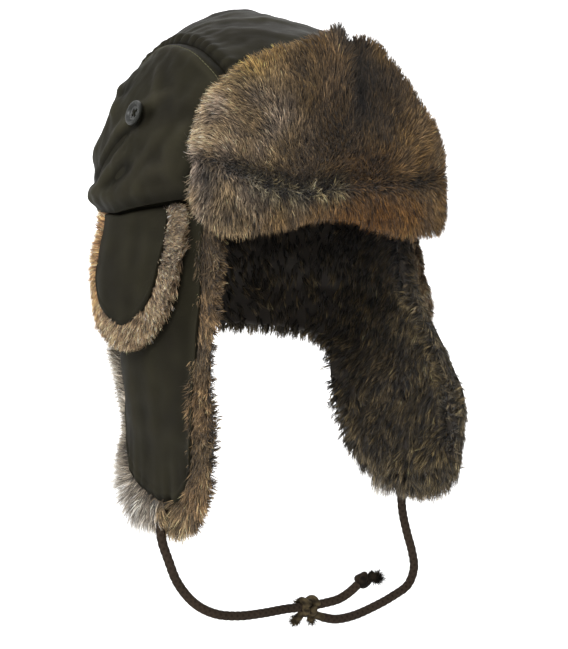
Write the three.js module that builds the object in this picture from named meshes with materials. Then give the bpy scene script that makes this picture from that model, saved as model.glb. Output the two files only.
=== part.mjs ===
// A winter hat with fur-lined ear flaps, in millimetres: +Z is up, the front of the hat faces -Y.
// Every piece is a wall or pad laid over a few smooth surfaces. The tables below give those surfaces
// as rows with named columns, and "fwd" is the distance towards the front (minus Y).
import * as THREE from "three";

// ---------------------------------------------------------------- sizes
const CROWN_WALL = 3; // padded nylon
const NYLON = 2; // nylon side of a flap, with its turned edge
const GAP = 0.3; // between touching pieces
const CORD = 5.8; // diameter of the tie cords
const SIDE_BULGE = 42.5; // how far a side panel stands out past its seam
const BUTTON = { radius: 7.7, thick: 3.2, rim: 1.7, fwd: 15, up: 68 };
const COCK = 0.05; // the hat sits a little lower on its left: fall for each millimetre to the left

// Seam between the side panels and the top strip, from the front hem over the top to the back hem,
// and the middle line of the top strip beside each row.
const CROWN = [
  { fwd: 82, up: 19, side: 57, midFwd: 87, midUp: 19 },
  { fwd: 84, up: 44, side: 58, midFwd: 88.5, midUp: 50 },
  { fwd: 80, up: 69, side: 58.5, midFwd: 86, midUp: 77 },
  { fwd: 69, up: 86, side: 59.5, midFwd: 75, midUp: 97 },
  { fwd: 51, up: 97, side: 60.5, midFwd: 55, midUp: 112 },
  { fwd: 30, up: 105, side: 61, midFwd: 28, midUp: 122 },
  { fwd: 2, up: 109, side: 61, midFwd: -2, midUp: 129.5 },
  { fwd: -21, up: 106, side: 61, midFwd: -31, midUp: 134 },
  { fwd: -44, up: 97.5, side: 61, midFwd: -60, midUp: 126.5 },
  { fwd: -69, up: 80, side: 60.5, midFwd: -88, midUp: 108.5 },
  { fwd: -88, up: 54, side: 59.5, midFwd: -110, midUp: 82 },
  { fwd: -95, up: 29, side: 58.5, midFwd: -122, midUp: 46 },
  { fwd: -96, up: 3, side: 58.5, midFwd: -122.5, midUp: 3 },
];
const HEM_MIDDLE = { fwd: -8, up: 4 }; // the middle of a side panel's hem

// Plan line of the ear flaps' outer face at the hem, from the middle of the back to the front edge.
// leanRight and leanLeft say how far the low end of the flap has moved outwards.
const FLAP_PLAN = [
  { side: 0, fwd: -114, leanRight: -8, leanLeft: -8 },
  { side: 33, fwd: -106.5, leanRight: -8, leanLeft: -8 },
  { side: 55, fwd: -91, leanRight: -8, leanLeft: -6 },
  { side: 74, fwd: -70, leanRight: -9, leanLeft: -5 },
  { side: 86, fwd: -48, leanRight: -10, leanLeft: -6 },
  { side: 91, fwd: -25, leanRight: -8, leanLeft: -3 },
  { side: 90, fwd: -3, leanRight: -6, leanLeft: 3 },
  { side: 86, fwd: 17, leanRight: -3, leanLeft: 11 },
  { side: 79.5, fwd: 36, leanRight: 1, leanLeft: 22 },
  { side: 72, fwd: 54, leanRight: 6, leanLeft: 32 },
];
// Lower edge of the nylon and of the fur, by the distance along that line.
const FLAP_EDGE = [
  { along: 0, right: -66, left: -66 },
  { along: 60, right: -68, left: -68 },
  { along: 93, right: -71, left: -71 },
  { along: 108, right: -77, left: -76 },
  { along: 116, right: -90, left: -86 },
  { along: 121, right: -108, left: -100 },
  { along: 128, right: -130, left: -120 },
  { along: 140, right: -147, left: -139 },
  { along: 154, right: -157, left: -151 },
  { along: 171, right: -162, left: -157 },
  { along: 189, right: -164, left: -158 },
  { along: 203, right: -162, left: -153 },
  { along: 213, right: -153, left: -140 },
  { along: 219, right: -138, left: -122 },
  { along: 222, right: -116, left: -100 },
];
const FLAP_FUR_EDGE = [
  { along: 0, right: -75, left: -75 },
  { along: 58, right: -77, left: -77 },
  { along: 85, right: -80, left: -80 },
  { along: 99, right: -87, left: -86 },
  { along: 107, right: -102, left: -97 },
  { along: 112, right: -122, left: -113 },
  { along: 117, right: -145, left: -134 },
  { along: 127, right: -164, left: -152 },
  { along: 143, right: -175, left: -165 },
  { along: 165, right: -180, left: -172 },
  { along: 189, right: -182, left: -174 },
  { along: 207, right: -181, left: -169 },
  { along: 220, right: -173, left: -157 },
  { along: 228, right: -157, left: -137 },
  { along: 231, right: -132, left: -112 },
];
const FLAP_FUR = 11; // depth of the fur at the top of the ear flaps

// Lower edges of the small covers that hang over the ear flaps, by the distance along the flap's
// plan line from where a cover starts at the back, and how far a cover stands off the flap.
const COVER_BACK = -34;
const COVER_STAND = { top: 3.9, low: 10 };
const COVER_EDGE = [
  { along: 0, up: -24 },
  { along: 4, up: -38 },
  { along: 12, up: -48 },
  { along: 24, up: -55 },
  { along: 36, up: -57.5 },
  { along: 48, up: -54 },
  { along: 59, up: -45 },
  { along: 66, up: -32 },
  { along: 69.5, up: -14 },
];
const COVER_FUR_EDGE = [
  { along: -10, up: -26 },
  { along: -6, up: -48 },
  { along: 4, up: -61 },
  { along: 20, up: -69 },
  { along: 36, up: -71.5 },
  { along: 52, up: -67 },
  { along: 65, up: -56 },
  { along: 76, up: -38 },
  { along: 82, up: -10 },
];

// The turned-up front flap, from its right end to its left end: the line of its back face, the
// depth of the fur, its lowest and highest points and the crease between the roll and the face.
const FRONT = [
  { side: -82, fwd: 70, deep: 8, low: 14, high: 60, crease: 45 },
  { side: -78.5, fwd: 76, deep: 11.5, low: 5, high: 77, crease: 44 },
  { side: -73, fwd: 81.5, deep: 13, low: 0, high: 88, crease: 42 },
  { side: -64, fwd: 87.5, deep: 14.5, low: -3, high: 97, crease: 37 },
  { side: -45, fwd: 91.7, deep: 16.5, low: 0, high: 106, crease: 30 },
  { side: -22, fwd: 93.7, deep: 18, low: 5, high: 112.5, crease: 28 },
  { side: 0, fwd: 94, deep: 18, low: 6, high: 119, crease: 28 },
  { side: 22, fwd: 93.7, deep: 17.5, low: -1, high: 112, crease: 28 },
  { side: 43, fwd: 91.7, deep: 16, low: -6, high: 94, crease: 28 },
  { side: 61, fwd: 87.5, deep: 13, low: -7, high: 71, crease: 29 },
  { side: 71.5, fwd: 82, deep: 10.5, low: -5, high: 57, crease: 31 },
  { side: 77.5, fwd: 76.5, deep: 8, low: 0, high: 45, crease: 30 },
  { side: 81, fwd: 71, deep: 5.5, low: 8, high: 34, crease: 24 },
];
const FRONT_LEAN = 17; // how far the top of the front flap leans back against the crown

// Free cords: each leaves the end of its ear flap and hangs in a loop to the other cord.
const CORD_RIGHT = [
  { side: -84.6, fwd: 28.6, up: -167.3 },
  { side: -86, fwd: 28.4, up: -175 },
  { side: -85.6, fwd: 28, up: -185 },
  { side: -80.8, fwd: 27.3, up: -199 },
  { side: -74, fwd: 26.3, up: -214.5 },
  { side: -61.5, fwd: 24.3, up: -229 },
  { side: -46.5, fwd: 22.2, up: -237.5 },
  { side: -29.4, fwd: 19.5, up: -241.3 },
  { side: -12, fwd: 16.9, up: -242.3 },
  { side: 6, fwd: 14.1, up: -242.3 },
  { side: 24, fwd: 11.3, up: -243.2 },
  { side: 38, fwd: 9.2, up: -243 },
  { side: 49, fwd: 7.5, up: -242 },
  { side: 57.5, fwd: 6.2, up: -238.8 },
  { side: 64, fwd: 5.2, up: -235 },
];
const CORD_LEFT = [
  { side: 98.8, fwd: 2.6, up: -170.2 },
  { side: 99.5, fwd: 1.2, up: -180 },
  { side: 101.6, fwd: -0.4, up: -192 },
  { side: 105.6, fwd: -1.2, up: -206 },
  { side: 110, fwd: -2, up: -219 },
  { side: 111.6, fwd: -2.1, up: -230.5 },
  { side: 106.8, fwd: -1.4, up: -240.6 },
  { side: 94, fwd: 0.5, up: -246.6 },
  { side: 78, fwd: 3.1, up: -251.3 },
  { side: 60.8, fwd: 5.7, up: -254.8 },
  { side: 46, fwd: 8, up: -254.9 },
  { side: 35.5, fwd: 9.6, up: -252 },
];

// ---------------------------------------------------------------- smooth tables
const lerp = (a, b, t) => a + (b - a) * t;
const clamp = (t, low = 0, high = 1) => Math.min(high, Math.max(low, t));
const smoothstep = (a, b, t) => {
  const s = clamp((t - a) / (b - a));
  return s * s * (3 - 2 * s);
};

// A row of a table at a fractional index, by a Catmull-Rom curve through every column.
function rowAt(table, t) {
  const last = table.length - 1;
  const i = Math.min(Math.floor(clamp(t, 0, last)), last - 1);
  const s = clamp(t, 0, last) - i;
  const row = {};
  for (const key of Object.keys(table[0])) {
    const at = (j) =>
      j < 0
        ? 2 * table[0][key] - table[1][key]
        : j > last
          ? 2 * table[last][key] - table[last - 1][key]
          : table[j][key];
    const [a, b, c, d] = [at(i - 1), at(i), at(i + 1), at(i + 2)];
    row[key] =
      0.5 *
      (2 * b +
        (c - a) * s +
        (2 * a - 5 * b + 4 * c - d) * s * s +
        (3 * b - a - 3 * c + d) * s * s * s);
  }
  return row;
}

// A plan line by the distance along it, with its outward direction. Past its ends it runs straight on.
function planLine(table) {
  const steps = 40 * (table.length - 1);
  const rows = [];
  const lengths = [0];
  for (let i = 0; i <= steps; i++) {
    rows.push(rowAt(table, (i * (table.length - 1)) / steps));
    if (i)
      lengths.push(
        lengths[i - 1] +
          Math.hypot(
            rows[i].side - rows[i - 1].side,
            rows[i].fwd - rows[i - 1].fwd,
          ),
      );
  }
  const total = lengths[steps];
  const inside = (along) => {
    let i = lengths.findIndex((l) => l >= along);
    i = clamp(i < 0 ? steps : i, 1, steps);
    const t = (along - lengths[i - 1]) / (lengths[i] - lengths[i - 1]);
    const row = {};
    for (const key of Object.keys(rows[0]))
      row[key] = lerp(rows[i - 1][key], rows[i][key], clamp(t));
    return row;
  };
  const at = (along) => {
    const s = clamp(along, 0.5, total - 0.5);
    const [a, b] = [inside(s - 0.5), inside(s + 0.5)];
    const row = inside(clamp(along, 0, total));
    const over = along - clamp(along, 0, total);
    const d = Math.hypot(b.side - a.side, b.fwd - a.fwd);
    const ahead = { side: (b.side - a.side) / d, fwd: (b.fwd - a.fwd) / d };
    row.side += ahead.side * over;
    row.fwd += ahead.fwd * over;
    row.out = { side: ahead.fwd, fwd: -ahead.side };
    return row;
  };
  return { total, at };
}

const edgeAt = (table, t) => rowAt(table, t * (table.length - 1));
const point = (side, fwd, up) => new THREE.Vector3(side, -fwd, up);
const cocked = (side, fwd, up) => point(side, fwd, up - COCK * side);

// ---------------------------------------------------------------- solids
// A closed solid from loops of points: side walls between the loops, and a cap on each end.
function loft(loops) {
  const vertices = loops.flat();
  const count = loops[0].length;
  const faces = [];
  for (let i = 0; i + 1 < loops.length; i++)
    for (let j = 0; j < count; j++) {
      const [a, b] = [i * count + j, i * count + ((j + 1) % count)];
      faces.push([a, b, b + count], [a, b + count, a + count]);
    }
  for (const [first, turn] of [
    [0, true],
    [(loops.length - 1) * count, false],
  ]) {
    const middle = new THREE.Vector3();
    for (let j = 0; j < count; j++) middle.add(vertices[first + j]);
    vertices.push(middle.divideScalar(count));
    for (let j = 0; j < count; j++) {
      const [a, b] = [first + j, first + ((j + 1) % count)];
      faces.push(
        turn ? [b, a, vertices.length - 1] : [a, b, vertices.length - 1],
      );
    }
  }
  return solid(vertices, faces);
}

// A closed wall between an outer and an inner surface over u and v from 0 to 1.
function wall(outer, inner, nu, nv) {
  const loops = [];
  for (let i = 0; i <= nu; i++) {
    const loop = [];
    for (let j = 0; j <= nv; j++) loop.push(outer(i / nu, j / nv));
    for (let j = nv; j >= 0; j--) loop.push(inner(i / nu, j / nv));
    loops.push(loop);
  }
  // The two end loops are thin strips, so they are closed by facing pairs and not by a fan.
  const vertices = loops.flat();
  const count = loops[0].length;
  const faces = [];
  for (let i = 0; i + 1 < loops.length; i++)
    for (let j = 0; j < count; j++) {
      const [a, b] = [i * count + j, i * count + ((j + 1) % count)];
      faces.push([a, b, b + count], [a, b + count, a + count]);
    }
  for (const [first, turn] of [
    [0, true],
    [(loops.length - 1) * count, false],
  ])
    for (let j = 0; j < nv; j++) {
      const [a, b] = [first + j, first + j + 1];
      const [c, d] = [first + count - 1 - j, first + count - 2 - j];
      faces.push(turn ? [b, a, c] : [a, b, c], turn ? [b, c, d] : [b, d, c]);
    }
  return solid(vertices, faces);
}

// A closed wall over a fan: every line of v runs from one shared corner (v = 0) out to v = 1.
function fan(outer, inner, nu, nv) {
  const vertices = [];
  const faces = [];
  const index = (i, j, side) =>
    j === 0 ? side : 2 + ((i * nv + j - 1) * 2 + side);
  vertices.push(outer(0.5, 0), inner(0.5, 0));
  for (let i = 0; i <= nu; i++)
    for (let j = 1; j <= nv; j++)
      vertices.push(outer(i / nu, j / nv), inner(i / nu, j / nv));
  for (let i = 0; i < nu; i++)
    for (let j = 0; j < nv; j++)
      for (const side of [0, 1]) {
        const [a, b] = [index(i, j, side), index(i + 1, j, side)];
        const [c, d] = [index(i, j + 1, side), index(i + 1, j + 1, side)];
        const tris = j === 0 ? [[a, c, d]] : [[a, c, d], [a, d, b]]; // prettier-ignore
        for (const t of tris) faces.push(side ? [t[0], t[2], t[1]] : t);
      }
  for (let i = 0; i < nu; i++) {
    const [a, b] = [index(i, nv, 0), index(i + 1, nv, 0)];
    const [c, d] = [index(i, nv, 1), index(i + 1, nv, 1)];
    faces.push([a, c, b], [b, c, d]);
  }
  for (let j = 0; j < nv; j++)
    for (const [i, turn] of [
      [0, false],
      [nu, true],
    ]) {
      const [a, b] = [index(i, j, 0), index(i, j + 1, 0)];
      const [c, d] = [index(i, j, 1), index(i, j + 1, 1)];
      faces.push(turn ? [a, b, c] : [b, a, c], turn ? [b, d, c] : [b, c, d]);
    }
  return solid(vertices, faces);
}

function solid(vertices, faces) {
  let volume = 0;
  for (const [a, b, c] of faces)
    volume += vertices[a].dot(
      new THREE.Vector3().crossVectors(vertices[b], vertices[c]),
    );
  const geometry = new THREE.BufferGeometry();
  geometry.setAttribute(
    "position",
    new THREE.Float32BufferAttribute(
      vertices.flatMap((v) => [v.x, v.y, v.z]),
      3,
    ),
  );
  geometry.setIndex(faces.flatMap((f) => (volume < 0 ? [f[0], f[2], f[1]] : f)));
  geometry.computeVertexNormals();
  return geometry;
}

// The same surface moved along its normal, which points away from the middle of the hat.
const HEART = point(0, -15, 10);
function offset(surface, distance) {
  return (u, v) => {
    const e = 0.004;
    const [u0, u1] = [clamp(u - e), clamp(u + e)];
    const [v0, v1] = [clamp(v - e), clamp(v + e)];
    const du = surface(u1, v).sub(surface(u0, v));
    const dv = surface(u, v1).sub(surface(u, v0));
    const normal = du.cross(dv).normalize();
    const p = surface(u, v);
    if (normal.dot(p.clone().sub(HEART)) < 0) normal.negate();
    const d = typeof distance === "function" ? distance(u, v) : distance;
    return p.addScaledVector(normal, d);
  };
}

// ---------------------------------------------------------------- crown
// Height of the hem, before the hat is cocked.
const hemUp = (fwd) =>
  fwd > HEM_MIDDLE.fwd
    ? lerp(HEM_MIDDLE.up, 19, (fwd - HEM_MIDDLE.fwd) / 91)
    : lerp(HEM_MIDDLE.up, 3, (HEM_MIDDLE.fwd - fwd) / 89);

const hemTuck = (height) => 3 * (1 - smoothstep(0, 9, height));

// u runs along the seam from front to back, v runs across the strip from right to left.
function topStrip(u, v) {
  const row = edgeAt(CROWN, u);
  const across = lerp(-1, 1, v);
  const rise = 1 - Math.abs(across) ** 2;
  const tuck = hemTuck(100 * Math.min(u, 1 - u) * 3.4);
  const fwd = lerp(row.fwd, row.midFwd, rise);
  return cocked(
    across * (row.side - 0.16),
    fwd - Math.sign(fwd) * tuck,
    lerp(row.up, row.midUp, rise),
  );
}

// v runs from the middle of the hem (0) out to the seam (1).
function sidePanel(hand) {
  return (u, v) => {
    const row = edgeAt(CROWN, u);
    const r = v * 0.998;
    const fwd = lerp(HEM_MIDDLE.fwd, row.fwd, r);
    const up = lerp(HEM_MIDDLE.up, row.up, r);
    const hem = hemUp(fwd);
    const stand = SIDE_BULGE * (1 - v * v) ** 0.62;
    const side =
      lerp(60.5, row.side, v) + 0.16 + stand - hemTuck(up - hem) * (1 - v * v);
    return cocked(hand * side, fwd, up);
  };
}

// The inner faces keep to their own side of the seam.
const topInner = (u, v) => {
  const p = offset(topStrip, -CROWN_WALL)(u, v);
  const most = edgeAt(CROWN, u).side - 0.2;
  p.x = clamp(p.x, -most, most);
  return p;
};
const sideInner = (hand) => {
  const moved = offset(sidePanel(hand), -CROWN_WALL);
  return (u, v) => {
    const p = moved(u, v);
    p.x = hand * Math.max(hand * p.x, edgeAt(CROWN, u).side + 0.2);
    return p;
  };
};

// ---------------------------------------------------------------- ear flaps
const flapLine = planLine(FLAP_PLAN);

// The outer face of the ear flap at a distance along its plan line and a height.
function flapFace(hand, along, up) {
  const row = flapLine.at(along);
  const depth = Math.max(0, -up);
  const lean =
    (hand < 0 ? row.leanRight : row.leanLeft) * smoothstep(22, 120, depth);
  const belly = 3.5 * Math.sin(Math.PI * clamp(depth / 170));
  const out = lean + belly * smoothstep(118, 150, along);
  return point(
    hand * (row.side + row.out.side * out),
    row.fwd + row.out.fwd * out,
    up,
  );
}

// The hem above a point of the flap, on the cocked hat.
const hemOver = (hand, row) => hemUp(row.fwd) - COCK * hand * row.side;

function flapSurface(hand, edge, first, tuckedIn) {
  return (u, v) => {
    const low = edgeAt(edge, u);
    const along = Math.max(first, low.along);
    const top = hemOver(hand, flapLine.at(along)) + tuckedIn;
    return flapFace(hand, along, lerp(top, hand < 0 ? low.right : low.left, v));
  };
}

const halved = (hand, surface) => (u, v) => {
  const p = surface(u, v);
  p.x = hand * Math.max(hand * p.x, GAP / 2);
  return p;
};

// ---------------------------------------------------------------- ear covers
function flapAlongAt(fwd) {
  let [a, b] = [100, 225];
  while (b - a > 0.05) {
    const m = (a + b) / 2;
    if (flapLine.at(m).fwd < fwd) a = m;
    else b = m;
  }
  return a;
}
const coverStart = flapAlongAt(COVER_BACK);
const coverStand = (depth) =>
  lerp(COVER_STAND.top, COVER_STAND.low, smoothstep(0, 50, depth));

function coverSurface(hand, edge) {
  return (u, v) => {
    const low = edgeAt(edge, u);
    const along = coverStart + low.along;
    const row = flapLine.at(along);
    const top = hemOver(hand, row) - 1.5;
    const up = lerp(top, low.up, v);
    const stand = coverStand(top - up);
    const p = flapFace(hand, along, up);
    p.x += hand * row.out.side * stand;
    p.y -= row.out.fwd * stand;
    return p;
  };
}

// ---------------------------------------------------------------- front flap
const frontBack = (t) => {
  const row = edgeAt(FRONT, t);
  const [a, b] = [edgeAt(FRONT, clamp(t - 0.01)), edgeAt(FRONT, clamp(t + 0.01))];
  const d = Math.hypot(b.side - a.side, b.fwd - a.fwd);
  row.out = { side: -(b.fwd - a.fwd) / d, fwd: (b.side - a.side) / d };
  return row;
};
function frontPoint(row, out, up) {
  const lean = FRONT_LEAN * clamp((up - 46) / 76) ** 2;
  const d = out - lean;
  return point(row.side + row.out.side * d, row.fwd + row.out.fwd * d, up);
}
// Outline of the fur across the flap: part of its depth, and height from the low edge (0) over the
// crease (1) to the top (2).
const FRONT_SECTION = [
  { out: 0, up: 0.3 },
  { out: 0, up: 0.9 },
  { out: 0, up: 1.25 },
  { out: 0, up: 1.5 },
  { out: 0, up: 1.72 },
  { out: 0, up: 1.93 },
  { out: 0.28, up: 2 },
  { out: 0.56, up: 1.94 },
  { out: 0.74, up: 1.74 },
  { out: 0.8, up: 1.42 },
  { out: 0.78, up: 1.18 },
  { out: 0.66, up: 1 },
  { out: 0.92, up: 0.82 },
  { out: 1, up: 0.52 },
  { out: 0.88, up: 0.2 },
  { out: 0.48, up: 0 },
];
function frontFur() {
  const loops = [];
  const n = 26;
  for (let i = 0; i <= n; i++) {
    const t = i / n;
    const row = frontBack(t);
    const end = Math.sqrt(clamp(1 - Math.abs(2 * t - 1) ** 14)) * 0.75 + 0.25;
    loops.push(
      FRONT_SECTION.map(({ out, up }) =>
        frontPoint(
          row,
          out * row.deep * end,
          up < 1
            ? lerp(row.low, row.crease, up)
            : lerp(row.crease, row.high, up - 1),
        ),
      ),
    );
  }
  return loft(loops);
}
const frontShellFace = (out) => (u, v) => {
  const row = frontBack(lerp(0.02, 0.98, u));
  return frontPoint(row, out, lerp(row.low + 9, row.high - 6, v));
};

// ---------------------------------------------------------------- assembly
const materials = {
  nylon: { color: 0x2b2a1f, roughness: 0.55, metalness: 0 },
  fur: { color: 0x6b5439, roughness: 0.95, metalness: 0 },
  button: { color: 0x1b1c17, roughness: 0.4, metalness: 0 },
  cord: { color: 0x3a3024, roughness: 0.85, metalness: 0 },
};
const hat = new THREE.Group();
const groups = {};
function add(name, geometry, kind, group = "hat") {
  groups[group] ??= hat.add(new THREE.Group()).children.at(-1);
  const mesh = new THREE.Mesh(
    geometry,
    new THREE.MeshStandardMaterial(materials[kind]),
  );
  mesh.name = name;
  groups[group].add(mesh);
  return mesh;
}

add(
  "crown_top_panel",
  wall(topStrip, topInner, 24, 8),
  "nylon",
  "crown",
);
add(
  "front_flap_shell",
  wall(frontShellFace(-0.8), frontShellFace(-0.8 - NYLON), 24, 7),
  "nylon",
  "front",
);
add("front_flap_fur", frontFur(), "fur", "front");

const buttonProfile = [
  [0, 0],
  [BUTTON.radius - 0.6, 0],
  [BUTTON.radius, 0.8],
  [BUTTON.radius - 0.2, BUTTON.thick - 0.7],
  [BUTTON.radius - 1, BUTTON.thick],
  [BUTTON.radius - BUTTON.rim, BUTTON.thick - 0.3],
  [BUTTON.radius - BUTTON.rim - 1.2, BUTTON.thick - 1.5],
  [0, BUTTON.thick - 1.7],
].map(([r, h]) => new THREE.Vector2(r, h));

for (const [side, hand] of [
  ["right", -1],
  ["left", 1],
]) {
  const panel = sidePanel(hand);
  add(
    `crown_side_panel_${side}`,
    fan(panel, sideInner(hand), 24, 7),
    "nylon",
    "crown",
  );

  // The button sits on the panel where the cover's end reaches when it is turned up.
  const button = add(
    `button_${side}`,
    new THREE.LatheGeometry(buttonProfile, 16),
    "button",
    "crown",
  );
  let best = { miss: Infinity };
  for (let i = 20; i <= 80; i++)
    for (let j = 20; j <= 95; j++) {
      const p = panel(i / 100, j / 100);
      const miss = Math.hypot(p.y + BUTTON.fwd, p.z - BUTTON.up);
      if (miss < best.miss) best = { miss, u: i / 100, v: j / 100, p };
    }
  const normal = offset(panel, 1)(best.u, best.v).sub(best.p).normalize();
  button.position.copy(best.p).addScaledVector(normal, 0.9);
  button.quaternion.setFromUnitVectors(new THREE.Vector3(0, 1, 0), normal);

  // Ear flap: the nylon wall outside, the fur inside it and out past its edge. The two halves
  // stop short of the seam at the middle of the back.
  const shell = flapSurface(hand, FLAP_EDGE, 0.4, 3);
  add(
    `ear_flap_shell_${side}`,
    wall(halved(hand, shell), halved(hand, offset(shell, -NYLON)), 26, 7),
    "nylon",
    `flap_${side}`,
  );
  const fur = flapSurface(hand, FLAP_FUR_EDGE, 0.4, -1);
  const furIn = (u, v) => {
    const up = fur(u, v).z;
    const deep =
      FLAP_FUR - 5 * smoothstep(-25, -50, up) + 7 * smoothstep(-70, -110, up);
    return (
      -NYLON -
      5 * GAP -
      deep *
        (0.3 + 0.7 * clamp((1 - v) / 0.14) ** 0.5) *
        (0.35 + 0.65 * clamp((1 - u) / 0.05) ** 0.5)
    );
  };
  add(
    `ear_flap_fur_${side}`,
    wall(
      halved(hand, offset(fur, -NYLON - 5 * GAP)),
      halved(hand, offset(fur, furIn)),
      26,
      7,
    ),
    "fur",
    `flap_${side}`,
  );

  // Ear cover: the small nylon flap and the fur under it.
  const cover = coverSurface(hand, COVER_EDGE);
  add(
    `ear_cover_shell_${side}`,
    wall(offset(cover, NYLON / 2), offset(cover, -NYLON / 2), 16, 5),
    "nylon",
    `cover_${side}`,
  );
  const coverFur = coverSurface(hand, COVER_FUR_EDGE);
  const coverFurIn = (u, v) => {
    const low = edgeAt(COVER_FUR_EDGE, u);
    const depth = (1.5 - low.up) * v;
    return 1.2 - coverStand(depth) * (1 - 0.18 * smoothstep(0.8, 1, v));
  };
  add(
    `ear_cover_fur_${side}`,
    wall(
      offset(coverFur, -NYLON / 2 - 2 * GAP),
      offset(coverFur, coverFurIn),
      16,
      5,
    ),
    "fur",
    `cover_${side}`,
  );
}

// ---------------------------------------------------------------- cords and knots
function cord(name, table) {
  const path = new THREE.CatmullRomCurve3(
    table.map((r) => point(r.side, r.fwd, r.up)),
  );
  const section = new THREE.Shape();
  for (let i = 0; i < 8; i++) {
    const a = (i / 8) * 2 * Math.PI;
    const [x, y] = [(Math.cos(a) * CORD) / 2, (Math.sin(a) * CORD) / 2];
    if (i) section.lineTo(x, y);
    else section.moveTo(x, y);
  }
  section.closePath();
  add(
    name,
    new THREE.ExtrudeGeometry(section, {
      steps: 40,
      bevelEnabled: false,
      extrudePath: path,
    }),
    "cord",
    "cords",
  );
  return path;
}
const rightPath = cord("chin_cord_right", CORD_RIGHT);
const leftPath = cord("chin_cord_left", CORD_LEFT);

// The right cord ends in its own knot.
const knotSection = [
  [0, 0],
  [3.6, 0.6],
  [6.2, 3.2],
  [6.4, 6],
  [4.4, 8.6],
  [4.2, 11],
  [5.2, 15],
  [4.6, 18],
  [0, 18.6],
].map(([r, h]) => new THREE.Vector2(r, h));
const endKnot = add(
  "chin_knot_right",
  new THREE.LatheGeometry(knotSection, 12),
  "cord",
  "cords",
);
const rightEnd = rightPath.getPoint(1);
const rightAhead = rightPath.getTangent(1);
endKnot.position.copy(rightEnd).addScaledVector(rightAhead, GAP);
endKnot.quaternion.setFromUnitVectors(new THREE.Vector3(0, 1, 0), rightAhead);

// The left cord's knot is a ring round the right cord.
const ringSection = [
  [3.7, -7],
  [6.2, -8],
  [8, -5],
  [8.5, 0],
  [8, 5],
  [6.2, 8],
  [3.7, 7],
  [3.5, 0],
  [3.7, -7],
].map(([r, h]) => new THREE.Vector2(r, h));
const ring = add(
  "chin_knot_left",
  new THREE.LatheGeometry(ringSection, 14),
  "cord",
  "cords",
);
let nearest = { miss: Infinity };
for (let i = 0; i <= 200; i++) {
  const p = rightPath.getPoint(i / 200);
  const miss = Math.abs(p.x - 24);
  if (miss < nearest.miss) nearest = { miss, t: i / 200, p };
}
ring.position.copy(nearest.p);
ring.quaternion.setFromUnitVectors(
  new THREE.Vector3(0, 1, 0),
  rightPath.getTangent(nearest.t),
);

export default hat;
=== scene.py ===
import math

import bpy
import numpy as np
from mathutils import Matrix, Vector


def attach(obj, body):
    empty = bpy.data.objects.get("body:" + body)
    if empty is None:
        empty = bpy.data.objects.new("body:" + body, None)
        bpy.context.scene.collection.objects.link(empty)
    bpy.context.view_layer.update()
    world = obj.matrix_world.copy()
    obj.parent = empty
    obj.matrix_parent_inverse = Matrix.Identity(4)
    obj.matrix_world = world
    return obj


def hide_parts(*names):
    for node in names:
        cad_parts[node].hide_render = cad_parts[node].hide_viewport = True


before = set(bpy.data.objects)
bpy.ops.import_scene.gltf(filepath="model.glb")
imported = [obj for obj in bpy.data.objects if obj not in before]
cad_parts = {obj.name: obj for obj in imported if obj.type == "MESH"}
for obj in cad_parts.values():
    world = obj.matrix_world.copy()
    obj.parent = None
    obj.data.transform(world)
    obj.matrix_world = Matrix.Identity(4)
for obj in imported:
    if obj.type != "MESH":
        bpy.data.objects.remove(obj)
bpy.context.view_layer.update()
MM = 0.001
scene = bpy.context.scene
scene.view_settings.view_transform = "Standard"

# ================================================================ camera
# The photo's view: from the wearer's right front, a little above.
EYE = Vector((-0.553637, -1.065203, 0.053114))
TARGET = Vector((0.007135, -0.010544, -0.061901))
camera = bpy.data.objects.new("camera", bpy.data.cameras.new("camera"))
camera.data.lens = 106.5
camera.data.sensor_width = 36
camera.data.sensor_fit = "AUTO"
camera.data.clip_start = 0.01
camera.location = EYE
camera.rotation_euler = (TARGET - EYE).to_track_quat("-Z", "Y").to_euler()
scene.collection.objects.link(camera)
scene.camera = camera


# ================================================================ small tools
def srgb(r, g, b):
    c = np.array([r, g, b], float) / 255
    return np.where(c <= 0.04045, c / 12.92, ((c + 0.055) / 1.055) ** 2.4)


def lerp(a, b, t):
    return a + (b - a) * t


def clamp(t, low=0.0, high=1.0):
    return np.minimum(high, np.maximum(low, t))


def smoothstep(a, b, t):
    s = clamp((t - a) / (b - a))
    return s * s * (3 - 2 * s)


def unit(v):
    return v / np.maximum(np.linalg.norm(v, axis=-1, keepdims=True), 1e-9)


def bump(x, centre, width):
    return np.exp(-(((x - centre) / width) ** 2))


class Waves:
    """Smooth noise: a seeded sum of sines in many directions."""

    def __init__(self, seed, size, count=14):
        rng = np.random.default_rng(seed)
        self.k = unit(rng.normal(size=(count, 3))) * (2 * np.pi / (size * rng.uniform(0.6, 1.7, (count, 1))))
        self.p = rng.uniform(0, 2 * np.pi, count)

    def __call__(self, points):
        return np.sin(points @ self.k.T + self.p).sum(-1) / math.sqrt(len(self.p) / 2)


# ================================================================ tables (millimetres, as in the CAD)
def table(columns, rows):
    a = np.array(rows, float)
    return {c: a[:, i] for i, c in enumerate(columns.split())}


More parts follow.
